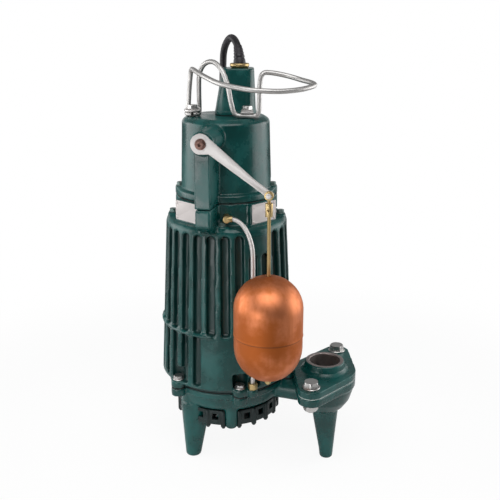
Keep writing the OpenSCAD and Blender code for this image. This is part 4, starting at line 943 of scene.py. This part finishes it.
# The nodes inside keep their CAD shape and get their own finish
insideFinish = {
    "impeller": brass, "impeller_nut": steel, "motor_shaft": steel, "rotor_core": bareIron,
    "shaft_seal": gasketRubber, "lower_bearing": steel, "upper_bearing": steel, "seal_plate": bareIron,
    "stator_core": bareIron, "stator_windings": windingWire, "upper_bracket": bareIron,
    "switch_base": blackPlastic, "capacitor": blackPlastic, "float_switch": blackPlastic, "switch_cam": brass,
}
replacedFinish = {
    "enamel": enamel, "stainless": steel, "brass": brass, "copper": copper, "winding_copper": windingWire,
    "bare_iron": bareIron, "plate": plateMetal, "black_plastic": blackPlastic, "rubber": cordRubber,
}
slotOf = {part["node"]: part["material_slot"] for part in frame["record"]["subparts"]}
for nodeName, piece in nodes.items():
    finish = insideFinish.get(nodeName, replacedFinish[slotOf[nodeName]])
    piece.data.materials.clear()
    piece.data.materials.append(finish)

# Floor: pale and lit for the object's sake, with painted light near the object fading to painted shade far off,
# and white where the camera looks at it
floorLook = {"half": 6, "drop": 0.0004, "rough": 0.85, "near": 0.25, "far": 0.8, "nearPaintedLight": 0.8, "farPaintedShade": 0.36,
             "fadeFrom": 0.3, "fadeTo": 0.9, "nearWhite": 0.9}
half = floorLook["half"]
floorMesh = bpy.data.meshes.new("floor")
floorMesh.from_pydata([(-half, -half, 0), (half, -half, 0), (half, half, 0), (-half, half, 0)], [], [(0, 1, 2, 3)])
floor = bpy.data.objects.new("floor", floorMesh)
scene.collection.objects.link(floor)
floor.location.z = -floorLook["drop"]
floorMaterial, floorTree, floorShader = newMaterial("paleFloor", Roughness=floorLook["rough"])
floorMesh.materials.append(floorMaterial)
away = vectorMaths("LENGTH", objectPlace(floorTree))["Value"]
# painted light and shade: the floor's colour is paler near the object and darker far from it
tone = ramp(away, floorLook["near"], floorLook["far"], floorLook["nearPaintedLight"], floorLook["farPaintedShade"])
floorTree.links.new(tone, floorShader.inputs["Base Color"])
fade = ramp(away, floorLook["fadeFrom"], floorLook["fadeTo"], floorLook["nearWhite"], 1.0)
seen = put(floorTree, "ShaderNodeLightPath")["Is Camera Ray"]
glow = put(floorTree, "ShaderNodeEmission", {"Strength": 1})[0]
mixed = put(floorTree, "ShaderNodeMixShader", {0: times(seen, fade), 1: floorShader.outputs[0], 2: glow})[0]
floorTree.links.new(mixed, floorTree.nodes["Material Output"].inputs["Surface"])

# Surroundings: white for the camera, a studio for reflections, and an even low light for the rest
surround = {"diffuse": 0.2, "behind": 1.0, "before": 0.1, "above": 0.3,
            "turnsFrom": -0.55, "turnsTo": 0.15, "risesFrom": 0.08, "risesTo": 0.26}
world = bpy.data.worlds.new("studio")
scene.world = world
world.use_nodes = True
sky = world.node_tree
backdrop = sky.nodes["Background"]
backdrop.inputs["Color"].default_value = (1, 1, 1, 1)
path = put(sky, "ShaderNodeLightPath")
seenDirect = maths("MAXIMUM", path["Is Camera Ray"], path["Is Transmission Ray"])
way = split(put(sky, "ShaderNodeTexCoord")["Generated"])
mirrored = ramp(way["Y"], surround["turnsFrom"], surround["turnsTo"], surround["before"], surround["behind"])
rise = ramp(way["Z"], surround["risesFrom"], surround["risesTo"], 1.0, surround["above"])
glossy = times(path["Is Glossy Ray"], minus(times(mirrored, rise), surround["diffuse"]))
level = maths("MAXIMUM", plus(surround["diffuse"], glossy), seenDirect)
sky.links.new(level, backdrop.inputs["Strength"])

# Lamps: place, target, width, height and power
lamps = {
    "leftPanel": ((-1.4, 0.1, 0.5), (0.0, 0.0, 0.3), 1.4, 1.3, 17),
    "rightPanel": ((1.4, 0.3, 0.5), (0.02, 0.0, 0.3), 1.5, 1.3, 17),
    "lowLeftPanel": ((-0.75, -1.05, 0.16), (0.0, 0.0, 0.42), 0.8, 0.3, 5.0),
    "keyPanel": ((-0.05, -1.15, 2.0), (0.0, 0.0, 0.3), 2.3, 1.4, 42),
}
for name, (place, target, width, height, power) in lamps.items():
    lamp = bpy.data.lights.new(name, "AREA")
    lamp.shape = "RECTANGLE"
    lamp.size, lamp.size_y = width, height
    lamp.energy = power
    lampObject = bpy.data.objects.new(name, lamp)
    lampObject.location = place
    lampObject.rotation_euler = (Vector(target) - Vector(place)).to_track_quat("-Z", "Y").to_euler()
    scene.collection.objects.link(lampObject)
scene.view_settings.view_transform = "Standard"
print("stage and lamps made")
